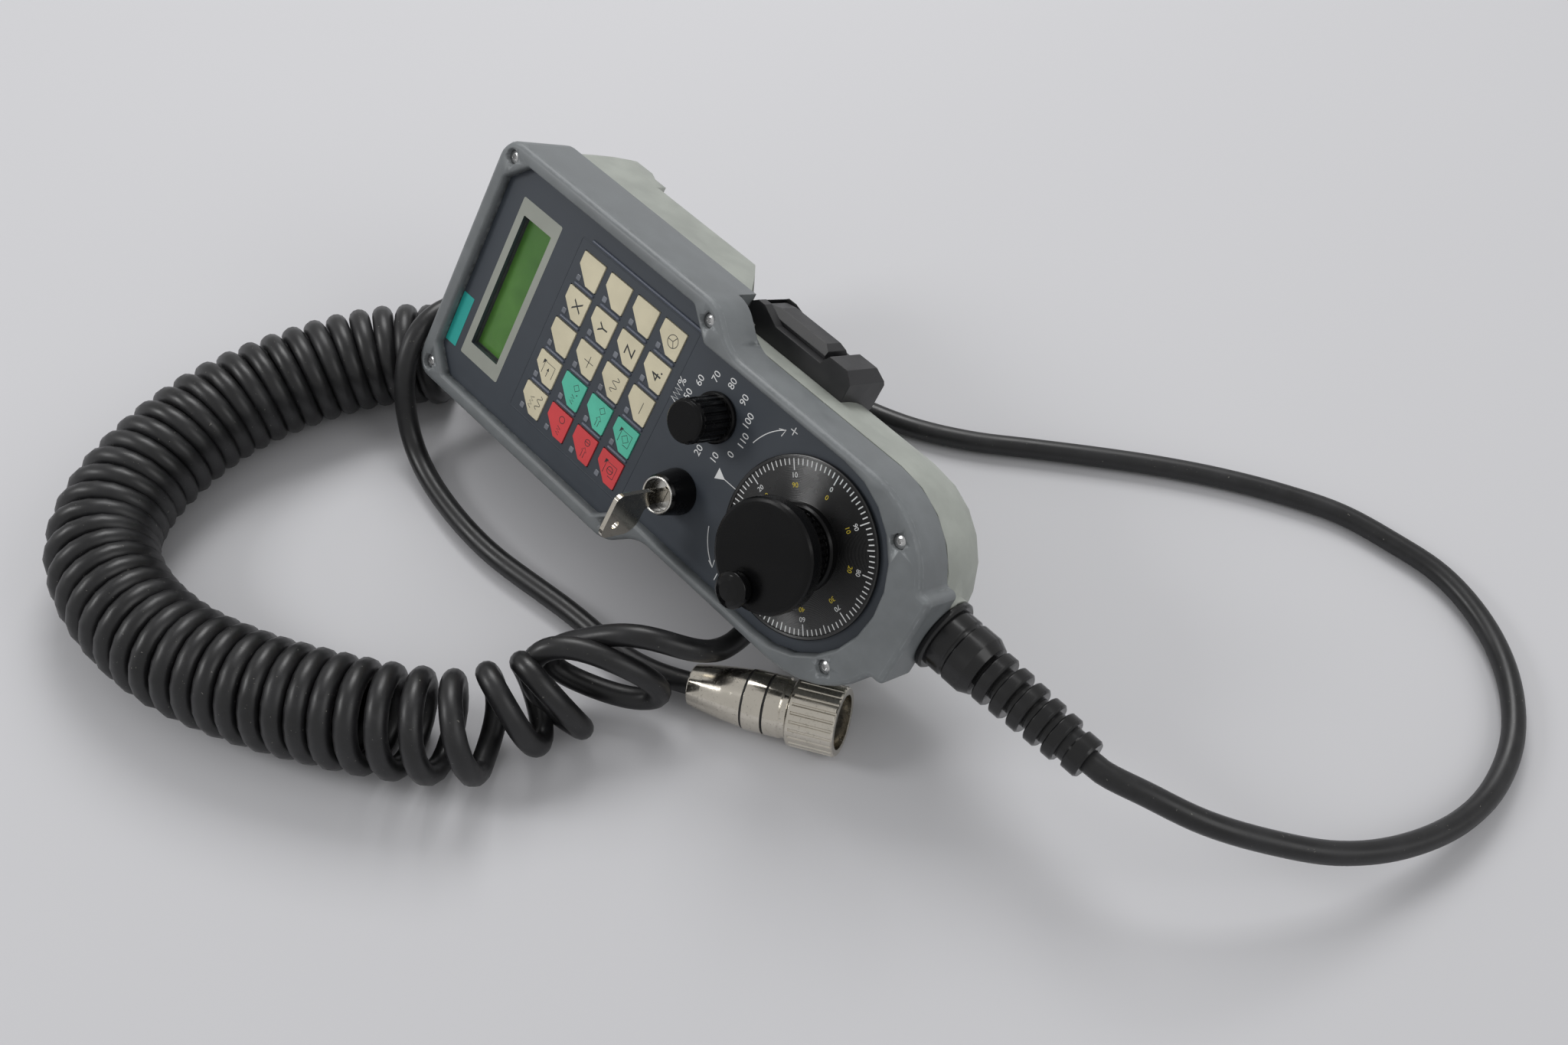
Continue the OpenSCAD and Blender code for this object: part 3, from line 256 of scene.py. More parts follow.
class Finish:
    # a material, built up node by node
    def __init__(self, name, **plain):
        self.material = bpy.data.materials.new(name)
        self.material.use_nodes = True
        self.tree = self.material.node_tree
        self.shader = self.tree.nodes["Principled BSDF"]
        self.bump = None
        self.set(**plain)

    def node(self, kind, settings=None, inputs=None, out=0):
        made = self.tree.nodes.new(kind)
        for name, value in (settings or {}).items():
            setattr(made, name, value)
        for name, value in (inputs or {}).items():
            self.plug(made.inputs[name], value)
        return Wire(self, made.outputs[out])

    def plug(self, socket, value):
        if isinstance(value, Wire):
            self.tree.links.new(value.socket, socket)
        elif socket.type == "RGBA" and len(value) == 3:
            socket.default_value = (*value, 1)
        else:
            socket.default_value = value

    def maths(self, operation, a, b):
        return self.node("ShaderNodeMath", {"operation": operation}, {0: a, 1: b})

    def vectors(self, operation, a, b=(0, 0, 0), out=0):
        return self.node("ShaderNodeVectorMath", {"operation": operation}, {0: a, 1: b}, out)

    def blend(self, a, b, share):
        return self.node("ShaderNodeMix", {"data_type": "RGBA"}, {0: share, 6: a, 7: b}, out=2)

    def span(self, value, low, high, to=(0, 1)):
        ends = {"From Min": low, "From Max": high, "To Min": to[0], "To Max": to[1]}
        return self.node("ShaderNodeMapRange", {"clamp": True}, {"Value": value, **ends})

    def place(self, stretch=(1, 1, 1)):
        where = self.node("ShaderNodeTexCoord", out=3)
        if stretch == (1, 1, 1):
            return where
        return self.node("ShaderNodeMapping", None, {"Vector": where, "Scale": stretch})

    def noise(self, size, detail=3, rough=0.55, stretch=(1, 1, 1)):
        # size is the width of a patch
        return self.node("ShaderNodeTexNoise", None, {"Vector": self.place(stretch), "Scale": 1000 / size,
                                                      "Detail": detail, "Roughness": rough})

    def relief(self, height, depth, strength=1.0):
        inputs = {"Height": height, "Distance": depth * mm, "Strength": strength}
        if self.bump:
            inputs["Normal"] = self.bump
        self.bump = self.node("ShaderNodeBump", None, inputs)
        self.plug(self.shader.inputs["Normal"], self.bump)

    def roundEdges(self, width):
        # the light sees a small round on every edge
        self.bump = self.node("ShaderNodeBevel", {"samples": 4}, {"Radius": width * mm})
        self.plug(self.shader.inputs["Normal"], self.bump)

    def edges(self, width):
        # 1 on outer and inner edges, 0 on open surface
        rounded = self.node("ShaderNodeBevel", {"samples": 4}, {"Radius": width * mm})
        true = self.node("ShaderNodeNewGeometry", out=3)
        along = self.vectors("DOT_PRODUCT", rounded, true, out=1)
        return self.span(along, 0.99, 0.80)

    def set(self, **sockets):
        for name, value in sockets.items():
            self.plug(self.shader.inputs[name.replace("_", " ")], value)


def colour(red, green, blue):
    # from 0-255 as seen to linear light
    return tuple((v / 255 / 12.92) if v / 255 <= 0.04045 else ((v / 255 + 0.055) / 1.055) ** 2.4
                 for v in (red, green, blue))


def scaled(tint, by):
    return tuple(v * by for v in tint)


def paint(look, *names):
    for name in names:
        target = nodes[name].data if isinstance(name, str) else name.data
        target.materials.clear()
        target.materials.append(look.material)


# widths of patches and marks
plasticMarks = {"patch": 14, "rub": 3, "scuff": 5, "edge": 0.5}
metalMarks = {"smear": 6, "stain": 1.1, "line": 0.8, "lineDepth": 0.004, "edge": 0.25}


def moulded(name, tint, rough, grain, grainSize, rounding=0, edgeWearAndHighlight=0, dirt=0.1, gleam=0.5):
    # moulded or painted plastic: fine grain, uneven gloss, edges painted lighter (partly rubbed wear, partly
    # a painted edge highlight) and a little grime
    tint = colour(*tint)
    made = Finish(name, Specular_IOR_Level=gleam)
    if rounding:
        made.roundEdges(rounding)
    patch = made.noise(plasticMarks["patch"], 4)
    fine = made.noise(grainSize, 2)
    base = made.blend(scaled(tint, 1 - dirt), scaled(tint, 1 + dirt * 0.5), made.span(patch, 0.35, 0.65))
    if edgeWearAndHighlight:
        # edges lighter all round, whatever the light: rubbed wear, partly a painted edge highlight
        edges = made.edges(plasticMarks["edge"])
        rubbed = edges * made.span(made.noise(plasticMarks["rub"], 4, 0.7), 0.42, 0.62)
        base = made.blend(base, tuple(min(1, v * 1.6 + 0.12) for v in tint), rubbed * edgeWearAndHighlight)
    scuff = made.span(made.noise(plasticMarks["scuff"], 5, 0.75, (1, 3.5, 1)), 0.62, 0.74)
    gloss = made.span(patch, 0.3, 0.7, (rough - 0.06, rough + 0.08))
    made.set(Base_Color=base, Roughness=gloss - scuff * 0.12)
    made.relief(fine, grain, 0.6)
    return made


def polished(name, tint, rough, scratch=0.1, stain=0.6):
    # plated or bare metal: fine scratches, finger marks and dull spots
    tint = colour(*tint)
    made = Finish(name, Metallic=1.0)
    made.roundEdges(metalMarks["edge"])
    smear = made.span(made.noise(metalMarks["smear"], 4, 0.6), 0.4, 0.7)
    stains = made.span(made.noise(metalMarks["stain"], 3, 0.6), 0.60, 0.66)
    lines = made.noise(metalMarks["line"], 3, 0.6, (1, 9, 1))
    made.set(Base_Color=made.blend(tint, scaled(tint, 0.62), stains * stain + smear * 0.15),
             Roughness=made.span(smear, 0, 1, (rough, rough + 0.12)) + stains * 0.15)
    made.relief(lines, metalMarks["lineDepth"], scratch)
    return made


# grain is its depth, grainSize the width of a grain and rounding an edge's radius
keyLook = {"rough": 0.42, "grain": 0.01, "grainSize": 0.4, "rounding": 0.3, "edgeWearAndHighlight": 0.1, "dirt": 0.07}
printLook = {"rough": 0.5, "grain": 0.004, "grainSize": 0.4, "dirt": 0.06}
plastics = {
    # the frame's strongly lighter edges are partly a painted highlight along its rims
    "frame": {"name": "frameGrey", "tint": (113, 117, 119), "rough": 0.44, "grain": 0.03, "grainSize": 0.9,
              "rounding": 0.5, "edgeWearAndHighlight": 0.8, "dirt": 0.12},
    "shell": {"name": "shellGrey", "tint": (160, 164, 157), "rough": 0.55, "grain": 0.05, "grainSize": 1.1,
              "rounding": 0.7, "edgeWearAndHighlight": 0.15, "dirt": 0.12},
    "panel": {"name": "panelBlue", "tint": (60, 66, 74), "rough": 0.48, "grain": 0.012, "grainSize": 0.35,
              "dirt": 0.06},
    "knob": {"name": "knobBlack", "tint": (9, 9, 10), "rough": 0.24, "grain": 0.004, "grainSize": 0.5,
             "rounding": 0.5, "gleam": 0.2},
    "grip": {"name": "gripBlack", "tint": (9, 9, 10), "rough": 0.14, "grain": 0.003, "grainSize": 0.6,
             "rounding": 0.4, "gleam": 0.3},
    "switch": {"name": "switchBlack", "tint": (26, 26, 28), "rough": 0.38, "grain": 0.03, "grainSize": 0.8,
               "rounding": 0.5, "edgeWearAndHighlight": 0.25, "dirt": 0.15},
    "gland": {"name": "glandBlack", "tint": (13, 13, 14), "rough": 0.22, "grain": 0.01, "grainSize": 0.9,
              "rounding": 0.4, "dirt": 0.15},
    "seal": {"name": "sealBlack", "tint": (24, 24, 25), "rough": 0.65, "grain": 0.02, "grainSize": 0.6},
    "inside": {"name": "insideGrey", "tint": (96, 98, 100), "rough": 0.6, "grain": 0.02, "grainSize": 0.8},
    "board": {"name": "boardGreen", "tint": (30, 84, 52), "rough": 0.4, "grain": 0.02, "grainSize": 1.5},
    "cream": {"name": "keyCream", "tint": (222, 213, 184), **keyLook},
    "red": {"name": "keyRed", "tint": (222, 72, 76), **keyLook},
    "mint": {"name": "keyMint", "tint": (92, 200, 172), **keyLook},
    "printWhite": {"name": "printWhite", "tint": (240, 241, 241), **printLook},
    "printYellow": {"name": "printYellow", "tint": (224, 200, 62), **printLook},
    "printDark": {"name": "printDark", "tint": (44, 46, 48), **printLook},
    "lcdFrame": {"name": "lcdFrame", "tint": (158, 161, 152), "rough": 0.5, "grain": 0.01,
                 "grainSize": 0.5, "dirt": 0.06},
    # the rails are the panel's own blue, lightened as a painted highlight on their raised tops
    "rail": {"name": "railPaintedHighlightBlue", "tint": (84, 90, 104), "rough": 0.34, "grain": 0.006, "grainSize": 0.4,
             "dirt": 0.06},
    "teal": {"name": "tealPlate", "tint": (38, 168, 160), "rough": 0.4, "grain": 0.006, "grainSize": 0.5,
             "dirt": 0.06},
    "lamp": {"name": "lampLens", "tint": (122, 126, 134), "rough": 0.25, "grain": 0.01, "grainSize": 0.6,
             "dirt": 0.25},
}
metals = {
    "nickel": {"name": "nickel", "tint": (214, 208, 196), "rough": 0.13},
    "steel": {"name": "screwSteel", "tint": (205, 205, 205), "rough": 0.24},
    "lock": {"name": "lockNickel", "tint": (226, 224, 219), "rough": 0.22, "scratch": 0.02, "stain": 0.05},
}
finish = {kind: moulded(**facts) for kind, facts in plastics.items()}
finish.update({kind: polished(**facts) for kind, facts in metals.items()})

# pitch is a groove's width, slope the steepness of its sides
dialTurning = {"pitch": 0.42, "slope": 0.37, "gleam": 0.75, "edge": 0.15}


def makeDialFinish():
    # black dial face turned on a lathe: its fine grooves catch the light in a fan
    made = Finish("dialBlack", Specular_IOR_Level=dialTurning["gleam"])
    smear = made.span(made.noise(9, 4), 0.4, 0.7)
    made.set(Base_Color=made.blend(colour(10, 10, 11), colour(17, 17, 18), smear),
             Roughness=made.span(smear, 0, 1, (0.24, 0.30)))
    made.roundEdges(dialTurning["edge"])
    arm = made.vectors("SUBTRACT", made.place(), onHousing(0, 0, 0))
    across = made.vectors("CROSS_PRODUCT", arm, outOfFace)
    spoke = made.vectors("NORMALIZE", made.vectors("CROSS_PRODUCT", outOfFace, across))
    radius = made.vectors("LENGTH", across, out=1)
    turns = radius * (2 * math.pi / dialTurning["pitch"] / mm)
    steep = made.node("ShaderNodeMath", {"operation": "SINE"}, {0: turns}) * dialTurning["slope"]
    lean = made.node("ShaderNodeVectorMath", {"operation": "SCALE"}, {0: spoke, "Scale": steep})
    toWorld = {"vector_type": "VECTOR", "convert_from": "OBJECT", "convert_to": "WORLD"}
    lean = made.node("ShaderNodeVectorTransform", toWorld, {"Vector": lean})
    made.set(Normal=made.vectors("NORMALIZE", made.vectors("ADD", made.bump, lean)))
    return made


def makeCordFinish():
    # black jacket, dull where it has rubbed, with a few specks of dust
    made = Finish("cordBlack")
    patch = made.noise(22, 4)
    rubbed = made.span(made.noise(5, 5, 0.7), 0.50, 0.72)
    specks = made.noise(1.2, 2) > 0.735
    grey = made.span(patch, 0.35, 0.65) * 0.5 + rubbed * 0.35
    base = made.blend(colour(19, 19, 20), colour(38, 38, 40), grey)
    made.set(Base_Color=made.blend(base, colour(120, 118, 112), specks * 0.7),
             Roughness=made.span(patch, 0.3, 0.7, (0.32, 0.44)) + rubbed * 0.08)
    made.relief(made.noise(1.6, 3), 0.02, 0.5)
    return made


def makeWindowFinish():
    # a clear pane with wiped smears
    made = Finish("window", IOR=1.5, Coat_Weight=0.3, Coat_Roughness=0.04)
    smear = made.span(made.noise(9, 4, 0.6), 0.4, 0.75)
    made.set(Base_Color=colour(40, 60, 40), Alpha=made.span(smear, 0, 1, (0.08, 0.14)),
             Roughness=made.span(smear, 0, 1, (0.05, 0.2)))
    return made


finish["dial"] = makeDialFinish()
finish["cord"] = makeCordFinish()
finish["window"] = makeWindowFinish()
paint(finish["cord"], cordPiece)
painted = {
    "frame": ["front_frame"], "shell": ["rear_shell"], "panel": ["front_panel"],
    "window": ["display_window"], "dial": ["handwheel_dial"], "grip": ["crank_grip"],
    "knob": ["handwheel_knob", "override_knob", "key_barrel"],
    "switch": ["enable_housing_left", "enable_housing_right", "enable_button_left", "enable_button_right"],
    "gland": ["gland_body", "gland_cap", "bend_relief"],
    "seal": ["frame_seal", "gland_seal", "connector_seals"],
    "nickel": ["switch_key", "connector_shell", "connector_ring"], "lock": ["lock_cylinder"],
    "steel": ["front_screws", "panel_nuts", "hinge_pins", "encoder_shaft", "override_shaft", "crank_pin"],
    "board": ["main_board", "keypad_board"],
    "inside": ["display_module", "encoder_body", "override_switch", "key_contact_block", "micro_switches",
               "connector_insert"],
}
for kind, names in painted.items():
    paint(finish[kind], *names)
for row in range(1, 5):
    for column in range(1, 6):
        tint = "cream" if row == 1 or column > 2 else ("red" if column == 1 else "mint")
        paint(finish[tint], f"key_{row}_{column}")
print("finishes set")


# Drawn and printed pieces
def meshed(made):
    # a curve or a text turned into mesh where it lies
    if made.type != "MESH":
        pick(made)
        bpy.ops.object.convert(target="MESH")
        made = bpy.context.object
    made.data.transform(made.matrix_world)
    made.matrix_world = Matrix.Identity(4)
    return made


def settle(parts, name, place, body, look):
    # join the parts, put them where they belong and let them ride
    parts = [meshed(part) for part in parts]
    pick(parts[0])
    for part in parts[1:]:
        part.select_set(True)
    if len(parts) > 1:
        bpy.ops.object.join()
    made = bpy.context.object
    made.name = made.data.name = name
    made.data.transform(place)
    made.data.materials.clear()
    made.data.materials.append(look.material)
    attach(made, body)
    made.select_set(False)
    return made


def curve(runs, kind):
    # runs of places; one that ends where it starts is closed
    data = bpy.data.curves.new("drawn", "CURVE")
    data.dimensions = kind
    for run in runs:
        closed = run[0] == run[-1] and len(run) > 2
        run = run[:-1] if closed else run
        line = data.splines.new("POLY")
        line.points.add(len(run) - 1)
        for point, (x, y) in zip(line.points, run):
            point.co = (x * mm, y * mm, 0, 1)
        line.use_cyclic_u = closed
    made = bpy.data.objects.new("drawn", data)
    bpy.context.scene.collection.objects.link(made)
    return made


def strokes(runs, width, thick=0.06):
    # drawn lines with a print's thickness
    made = curve(runs, "3D")
    made.data.bevel_depth = width / 2 * mm
    made.data.bevel_resolution = 1
    made.data.use_fill_caps = True
    made.scale = (1, 1, thick / width)
    bpy.context.view_layer.update()
    return made


def sheet(runs, thick=0.06, rounding=0.0):
    # flat filled shapes, a shape inside another is a hole
    made = curve(runs, "2D")
    made.data.fill_mode = "BOTH"
    made.data.extrude = (thick / 2 - rounding) * mm
    made.data.bevel_depth = rounding * mm
    made.data.offset = -rounding * mm
    made.data.bevel_resolution = 2
    bpy.context.view_layer.update()
    return made


def word(text, size, x=0, y=0, turn=0, thick=0.05):
    data = bpy.data.curves.new("word", "FONT")
    data.body = text
    data.size = size * mm
    data.extrude = thick / 2 * mm
    data.align_x = "CENTER"
    data.align_y = "CENTER"
    data.resolution_u = 4
    made = bpy.data.objects.new("word", data)
    made.matrix_world = Matrix.Translation((x * mm, y * mm, 0)) @ Matrix.Rotation(math.radians(turn), 4, "Z")
    bpy.context.scene.collection.objects.link(made)
    bpy.context.view_layer.update()
    return made


def onCircle(x, y, radius, degrees):
    # degrees count from the right, anticlockwise
    turned = math.radians(degrees)
    return x + radius * math.cos(turned), y + radius * math.sin(turned)


def arc(x, y, radius, start, end, count=24):
    return [onCircle(x, y, radius, start + (end - start) * k / count) for k in range(count + 1)]


def ring(x, y, radius, count=24):
    run = arc(x, y, radius, 0, 360, count)
    return run[:-1] + [run[0]]


def block(x0, y0, x1, y1, rounding=0.6):
    # a closed outline with round corners
    run = []
    for x, y, start in ((x1 - rounding, y1 - rounding, 0), (x0 + rounding, y1 - rounding, 90),
                        (x0 + rounding, y0 + rounding, 180), (x1 - rounding, y0 + rounding, 270)):
        run += arc(x, y, rounding, start, start + 90, 5)
    return run + [run[0]]


def over(x, y, z=0.0):
    return layDown @ Matrix.Translation((x * mm, y * mm, z * mm))


# Signs on the keys, drawn from the key's middle
bracket = [(-2.6, 1.9), (2.9, 1.9), (2.9, -4.2), (-2.6, -4.2)]
framed = bracket + [(-2.6, -1.2)]
tip = [(1.2, 2.9), (3.5, 1.2), (3.5, 2.9), (1.2, 2.9)]
zigzag = [(-4.3, -3.0), (-3.6, -0.9), (-2.9, -3.0), (-2.2, -0.9), (-1.5, -3.0), (-0.8, -0.9)]
drill = [(-4.4, -1.2), (-1.4, -1.2), (-1.4, -0.4), (0.2, -1.9), (-1.4, -3.4), (-1.4, -2.6), (-4.4, -2.6)]
wave = [(x / 10 - 3.3, -1.7 + 1.7 * math.sin((x / 10) * 1.9)) for x in range(0, 67, 3)]
peaks = [(-3.6, -0.4), (-2.7, 1.5), (-1.8, -0.4), (-0.9, 1.5), (0, -0.4), (0.9, 1.5), (1.8, -0.4)]
signs = {
    # row, column: lines, filled shapes or a letter
    (1, 1): {"lines": [peaks, [(x + 0.9, y * 0.75 - 2.2) for x, y in wave]]},
    (1, 2): {"lines": [bracket, [(-2.9, -1.1), (0.1, -1.1)]],
             "filled": [tip, [(-0.3, -0.4), (1.2, -1.1), (-0.3, -1.8), (-0.3, -0.4)]]},
    (1, 4): {"word": "X"},
    (2, 1): {"lines": [zigzag, ring(2.6, -1.8, 1.5)]},
    (2, 2): {"lines": [zigzag, [(2.8, -3.5), (4.5, -1.8), (2.8, -0.1), (1.1, -1.8), (2.8, -3.5)]],
             "filled": [ring(0.2, -3.4, 0.35, 8)]},
    (2, 3): {"lines": [[(-2.7, -1.8), (2.7, -1.8)], [(0, -4.5), (0, 0.9)]]},
    (2, 4): {"word": "Y"},
    (3, 1): {"lines": [drill, ring(2.7, -1.9, 1.4), [(2.7, -3.3), (2.7, -0.5)]]},
    (3, 2): {"lines": [drill, [(2.9, -3.6), (4.6, -1.9), (2.9, -0.2), (1.2, -1.9), (2.9, -3.6)]]},
    (3, 3): {"lines": [wave]},
    (3, 4): {"word": "Z"},
    (4, 1): {"lines": [framed, ring(0.1, -1.3, 1.6), [(0.1, -2.9), (0.1, 0.3)]], "filled": [tip]},
    (4, 2): {"lines": [framed, [(0.1, -3.3), (2.1, -1.3), (0.1, 0.7), (-1.9, -1.3), (0.1, -3.3)]],
             "filled": [tip]},
    (4, 3): {"lines": [[(-2.6, -1.8), (2.6, -1.8)]]},
    (4, 4): {"word": "4."},
    (4, 5): {"lines": [ring(0.3, -1.5, 2.7, 32)]
             + [[(0.3, -1.5), onCircle(0.3, -1.5, 2.7, degrees)] for degrees in (90, 210, 330)]},
}
keys = {
    "pitchX": 15.75, "pitchY": 16.3, "shift": -0.5, "low": 93, "wide": 12.5, "high": 12.8, "top": 0.5,
    "line": 0.32, "fill": 0.05, "letter": (7.2, 0.2, -1.6),  # size and place
}
# box is two corners, corner the radius of its corners and top the height of its middle over the panel
keyLamp = {"box": (-0.2, -3.3, 2.3, -0.9), "corner": 0.5, "thick": 0.5, "rounding": 0.2, "top": 0.05}
keyRail = {"box": (-2.2, -6.6, -0.9, 5.2), "corner": 0.6, "thick": 1.3, "rounding": 0.55, "top": 0.15,
           "sideBox": (41.9, 81, 43.3, 147), "sideCorner": 0.65}
keyEdge = {"box": (-41.2, 82, 41.2, 152.5), "corner": 1, "width": 0.5, "thick": 0.16}


def makeKeys():
    rails = [block(*keyRail["sideBox"], keyRail["sideCorner"])]
    for row in range(1, 5):
        for column in range(1, 6):
            x = (column - 3) * keys["pitchX"] + keys["shift"]
            y = keys["low"] + (4 - row) * keys["pitchY"]
            sign = signs.get((row, column))
            if sign:
                parts = []
                if "lines" in sign:
                    parts.append(strokes(sign["lines"], keys["line"]))
                if "filled" in sign:
                    parts.append(sheet(sign["filled"], keys["fill"]))
                if "word" in sign:
                    parts.append(word(sign["word"], *keys["letter"]))
                settle(parts, f"sign_{row}_{column}", over(x, y, keys["top"]), f"key_{row}_{column}",
                       finish["printDark"])
            # a lamp in the key's cut corner, placed from its upper left corner
            left, up = x - keys["wide"] / 2, y + keys["high"] / 2
            x0, y0, x1, y1 = keyLamp["box"]
            lens = block(left + x0, up + y0, left + x1, up + y1, keyLamp["corner"])
            settle([sheet([lens], keyLamp["thick"], keyLamp["rounding"])], f"lamp_{row}_{column}",
                   over(0, 0, keyLamp["top"]), "housing", finish["lamp"])
            # a low rail between two keys, placed from the key's left side and middle
            if column > 1:
                x0, y0, x1, y1 = keyRail["box"]
                rails.append(block(left + x0, y + y0, left + x1, y + y1, keyRail["corner"]))
    # the rails take the lighter blue, a painted highlight
    settle([sheet(rails, keyRail["thick"], keyRail["rounding"])], "keypad_rails", over(0, 0, keyRail["top"]),
           "housing", finish["rail"])
    edge = strokes([block(*keyEdge["box"], keyEdge["corner"])], keyEdge["width"], keyEdge["thick"])
    settle([edge], "keypad_edge", over(0, 0), "housing", finish["panel"])


makeKeys()
print("keypad drawn")

# Prints on the panel
panelPrint = {
    "override": (18, 59), "reach": 15.8, "size": 4.5,
    "marks": {0: "80", 30: "70", 60: "60", 90: "50", 120: "40", 150: "30", 180: "20", 210: "10", 240: "0",
              -90: "110", -60: "100", -30: "90"},  # by their place round the knob
    "percentAt": (2.6, 20.7), "percentScale": 1.1,
    "zigzagAt": (-6.6, 20.7), "zigzagPitch": 1.0, "zigzagHigh": 1.8, "zigzagPoints": 8,
    "pointer": [(-2.5, 47), (2.5, 47), (0, 42.5), (-2.5, 47)], "pointerLine": [(0, 43), (0, 36)],
    "arrow": ((20.2, 39.2), (28.6, 36.2), (33.3, 29.2)),  # start, pull and tip of the bent arrows
    "arrowHead": ((-1.4, 2.9), (-3.2, 0.6)), "arrowSteps": 12,
    "plus": [[(33.4, 25.9), (36.8, 25.9)], [(35.1, 24.2), (35.1, 27.6)]],
    "minus": [[(-37.0, 25.9), (-33.8, 25.9)]],
    "line": 0.42, "signLine": 0.45, "zigzagLine": 0.5, "pointerWide": 0.4, "fill": 0.05, "top": 0.02,
}
# box is two corners and the radius of its corners; top is the height of a piece's middle over the panel
displayBorder = {"outer": (-38.3, 163.7, 38.3, 188.3, 0.8), "inner": (-31.4, 167.2, 31.4, 184.7, 0.5),
                 "thick": 0.08, "top": 0.03}
displayGlass = {"box": (-31.0, 167.5, 31.0, 184.4, 0.3), "thick": 0.5, "top": -4.2,
                "dark": (82, 142, 50), "bright": (98, 158, 62), "rough": 0.35, "patch": 30, "grain": 0.35}
barePlate = {"box": (-38.5, 192, -14.5, 198.8, 0.3), "thick": 0.12, "top": 0.05}


def makePanelPrint():
    x, y = panelPrint["override"]
    size = panelPrint["size"]
    parts = [word(text, size, *onCircle(x, y, panelPrint["reach"], degrees))
             for degrees, text in panelPrint["marks"].items()]
    across, up = panelPrint["percentAt"]
    parts.append(word("%", size * panelPrint["percentScale"], x + across, y + up))
    across, up = panelPrint["zigzagAt"]
    high = panelPrint["zigzagHigh"]
    zigzags = [(x + across + panelPrint["zigzagPitch"] * k, y + up + (high if k % 2 else -high))
               for k in range(panelPrint["zigzagPoints"])]
    parts.append(strokes([zigzags], panelPrint["zigzagLine"]))
    parts.append(sheet([panelPrint["pointer"]], panelPrint["fill"]))
    parts.append(strokes([panelPrint["pointerLine"]], panelPrint["pointerWide"]))
    start, pull, tipped = panelPrint["arrow"]
    for side in (1, -1):
        run = []
        for k in range(panelPrint["arrowSteps"] + 1):
            t = k / panelPrint["arrowSteps"]
            px, py = (a * (1 - t) ** 2 + 2 * b * t * (1 - t) + c * t * t
                      for a, b, c in zip(start, pull, tipped))
            run.append((side * px, py))
        tipX, tipY = run[-1]
        (ax, ay), (bx, by) = panelPrint["arrowHead"]
        head = [(tipX + side * ax, tipY + ay), (tipX, tipY), (tipX + side * bx, tipY + by)]
        parts.append(strokes([run, head], panelPrint["line"]))
    parts.append(strokes(panelPrint["plus"], panelPrint["signLine"]))
    parts.append(strokes(panelPrint["minus"], panelPrint["signLine"]))
    settle(parts, "panel_print", over(0, 0, panelPrint["top"]), "housing", finish["printWhite"])
    border = sheet([block(*displayBorder["outer"]), block(*displayBorder["inner"])], displayBorder["thick"])
    settle([border], "display_border", over(0, 0, displayBorder["top"]), "housing", finish["lcdFrame"])
    plate = sheet([block(*barePlate["box"])], barePlate["thick"])
    settle([plate], "bare_plate", over(0, 0, barePlate["top"]), "housing", finish["teal"])


def makeDisplayGlass():
    # a blank green display that has aged unevenly
    made = Finish("lcdGreen", Coat_Weight=0.6, Coat_Roughness=0.12)
    patch = made.span(made.noise(displayGlass["patch"], 2), 0.35, 0.65)
    made.set(Base_Color=made.blend(colour(*displayGlass["dark"]), colour(*displayGlass["bright"]), patch),
             Roughness=displayGlass["rough"])
    made.relief(made.noise(displayGlass["grain"], 1), 0.004, 0.3)
    glass = sheet([block(*displayGlass["box"])], displayGlass["thick"])
    settle([glass], "display_glass", over(0, 0, displayGlass["top"]), "housing", made)


makePanelPrint()
makeDisplayGlass()

# The dial's scale, numbered one way in white and the other way in yellow
scale = {"outer": 34.0, "short": 2.6, "medium": 3.4, "long": 4.6, "line": 0.48, "divisions": 100,
         "numbers": 10, "white": 27.4, "yellow": 23.6, "size": 2.8, "top": 1.72}


def makeScale():
    runs = []
    for k in range(scale["divisions"]):
        length = scale["long"] if k % 10 == 0 else scale["medium"] if k % 5 == 0 else scale["short"]
        degrees = 360 / scale["divisions"] * k
        runs.append([onCircle(0, 0, reach, degrees) for reach in (scale["outer"] - length, scale["outer"])])
    white, yellow = [strokes(runs, scale["line"])], []
    step = scale["divisions"] // scale["numbers"]
    for k in range(scale["numbers"]):
        degrees = 360 / scale["numbers"] * k
        ways = ((white, scale["white"], k * step), (yellow, scale["yellow"], -k * step % scale["divisions"]))
        for prints, reach, number in ways:
            prints.append(word(str(number), scale["size"], *onCircle(0, 0, reach, degrees), degrees - 90))
    settle(white, "scale_white", over(0, 0, scale["top"]), "handwheel", finish["printWhite"])
    settle(yellow, "scale_yellow", over(0, 0, scale["top"]), "handwheel", finish["printYellow"])


makeScale()

# The bright ring round the lock
lockRing = {"radius": 7.05, "thick": 0.5, "at": (-18, 59, 12.7)}


def makeLockRing():
    bpy.ops.mesh.primitive_torus_add(
        major_radius=lockRing["radius"] * mm, minor_radius=lockRing["thick"] * mm,
        major_segments=64, minor_segments=10)
    settle([bpy.context.object], "lock_ring", over(*lockRing["at"]), "housing", finish["lock"])


makeLockRing()
print("prints set")

# The two mouldings of the housing, merged so that their round corners shade evenly;
# smooth is the steepest corner that still counts as round
softened = {"front_frame": {"body": "housing", "smooth": 32}, "rear_shell": {"body": "housing", "smooth": 28}}
# The shell's two screw holes at the display end, closed because they come out at its corners
endHoles = {"piece": "rear_shell", "x": 50.5, "y": 198.5, "radius": 1.55, "slack": 0.04}
mergeWithin = 0.00001  # metres


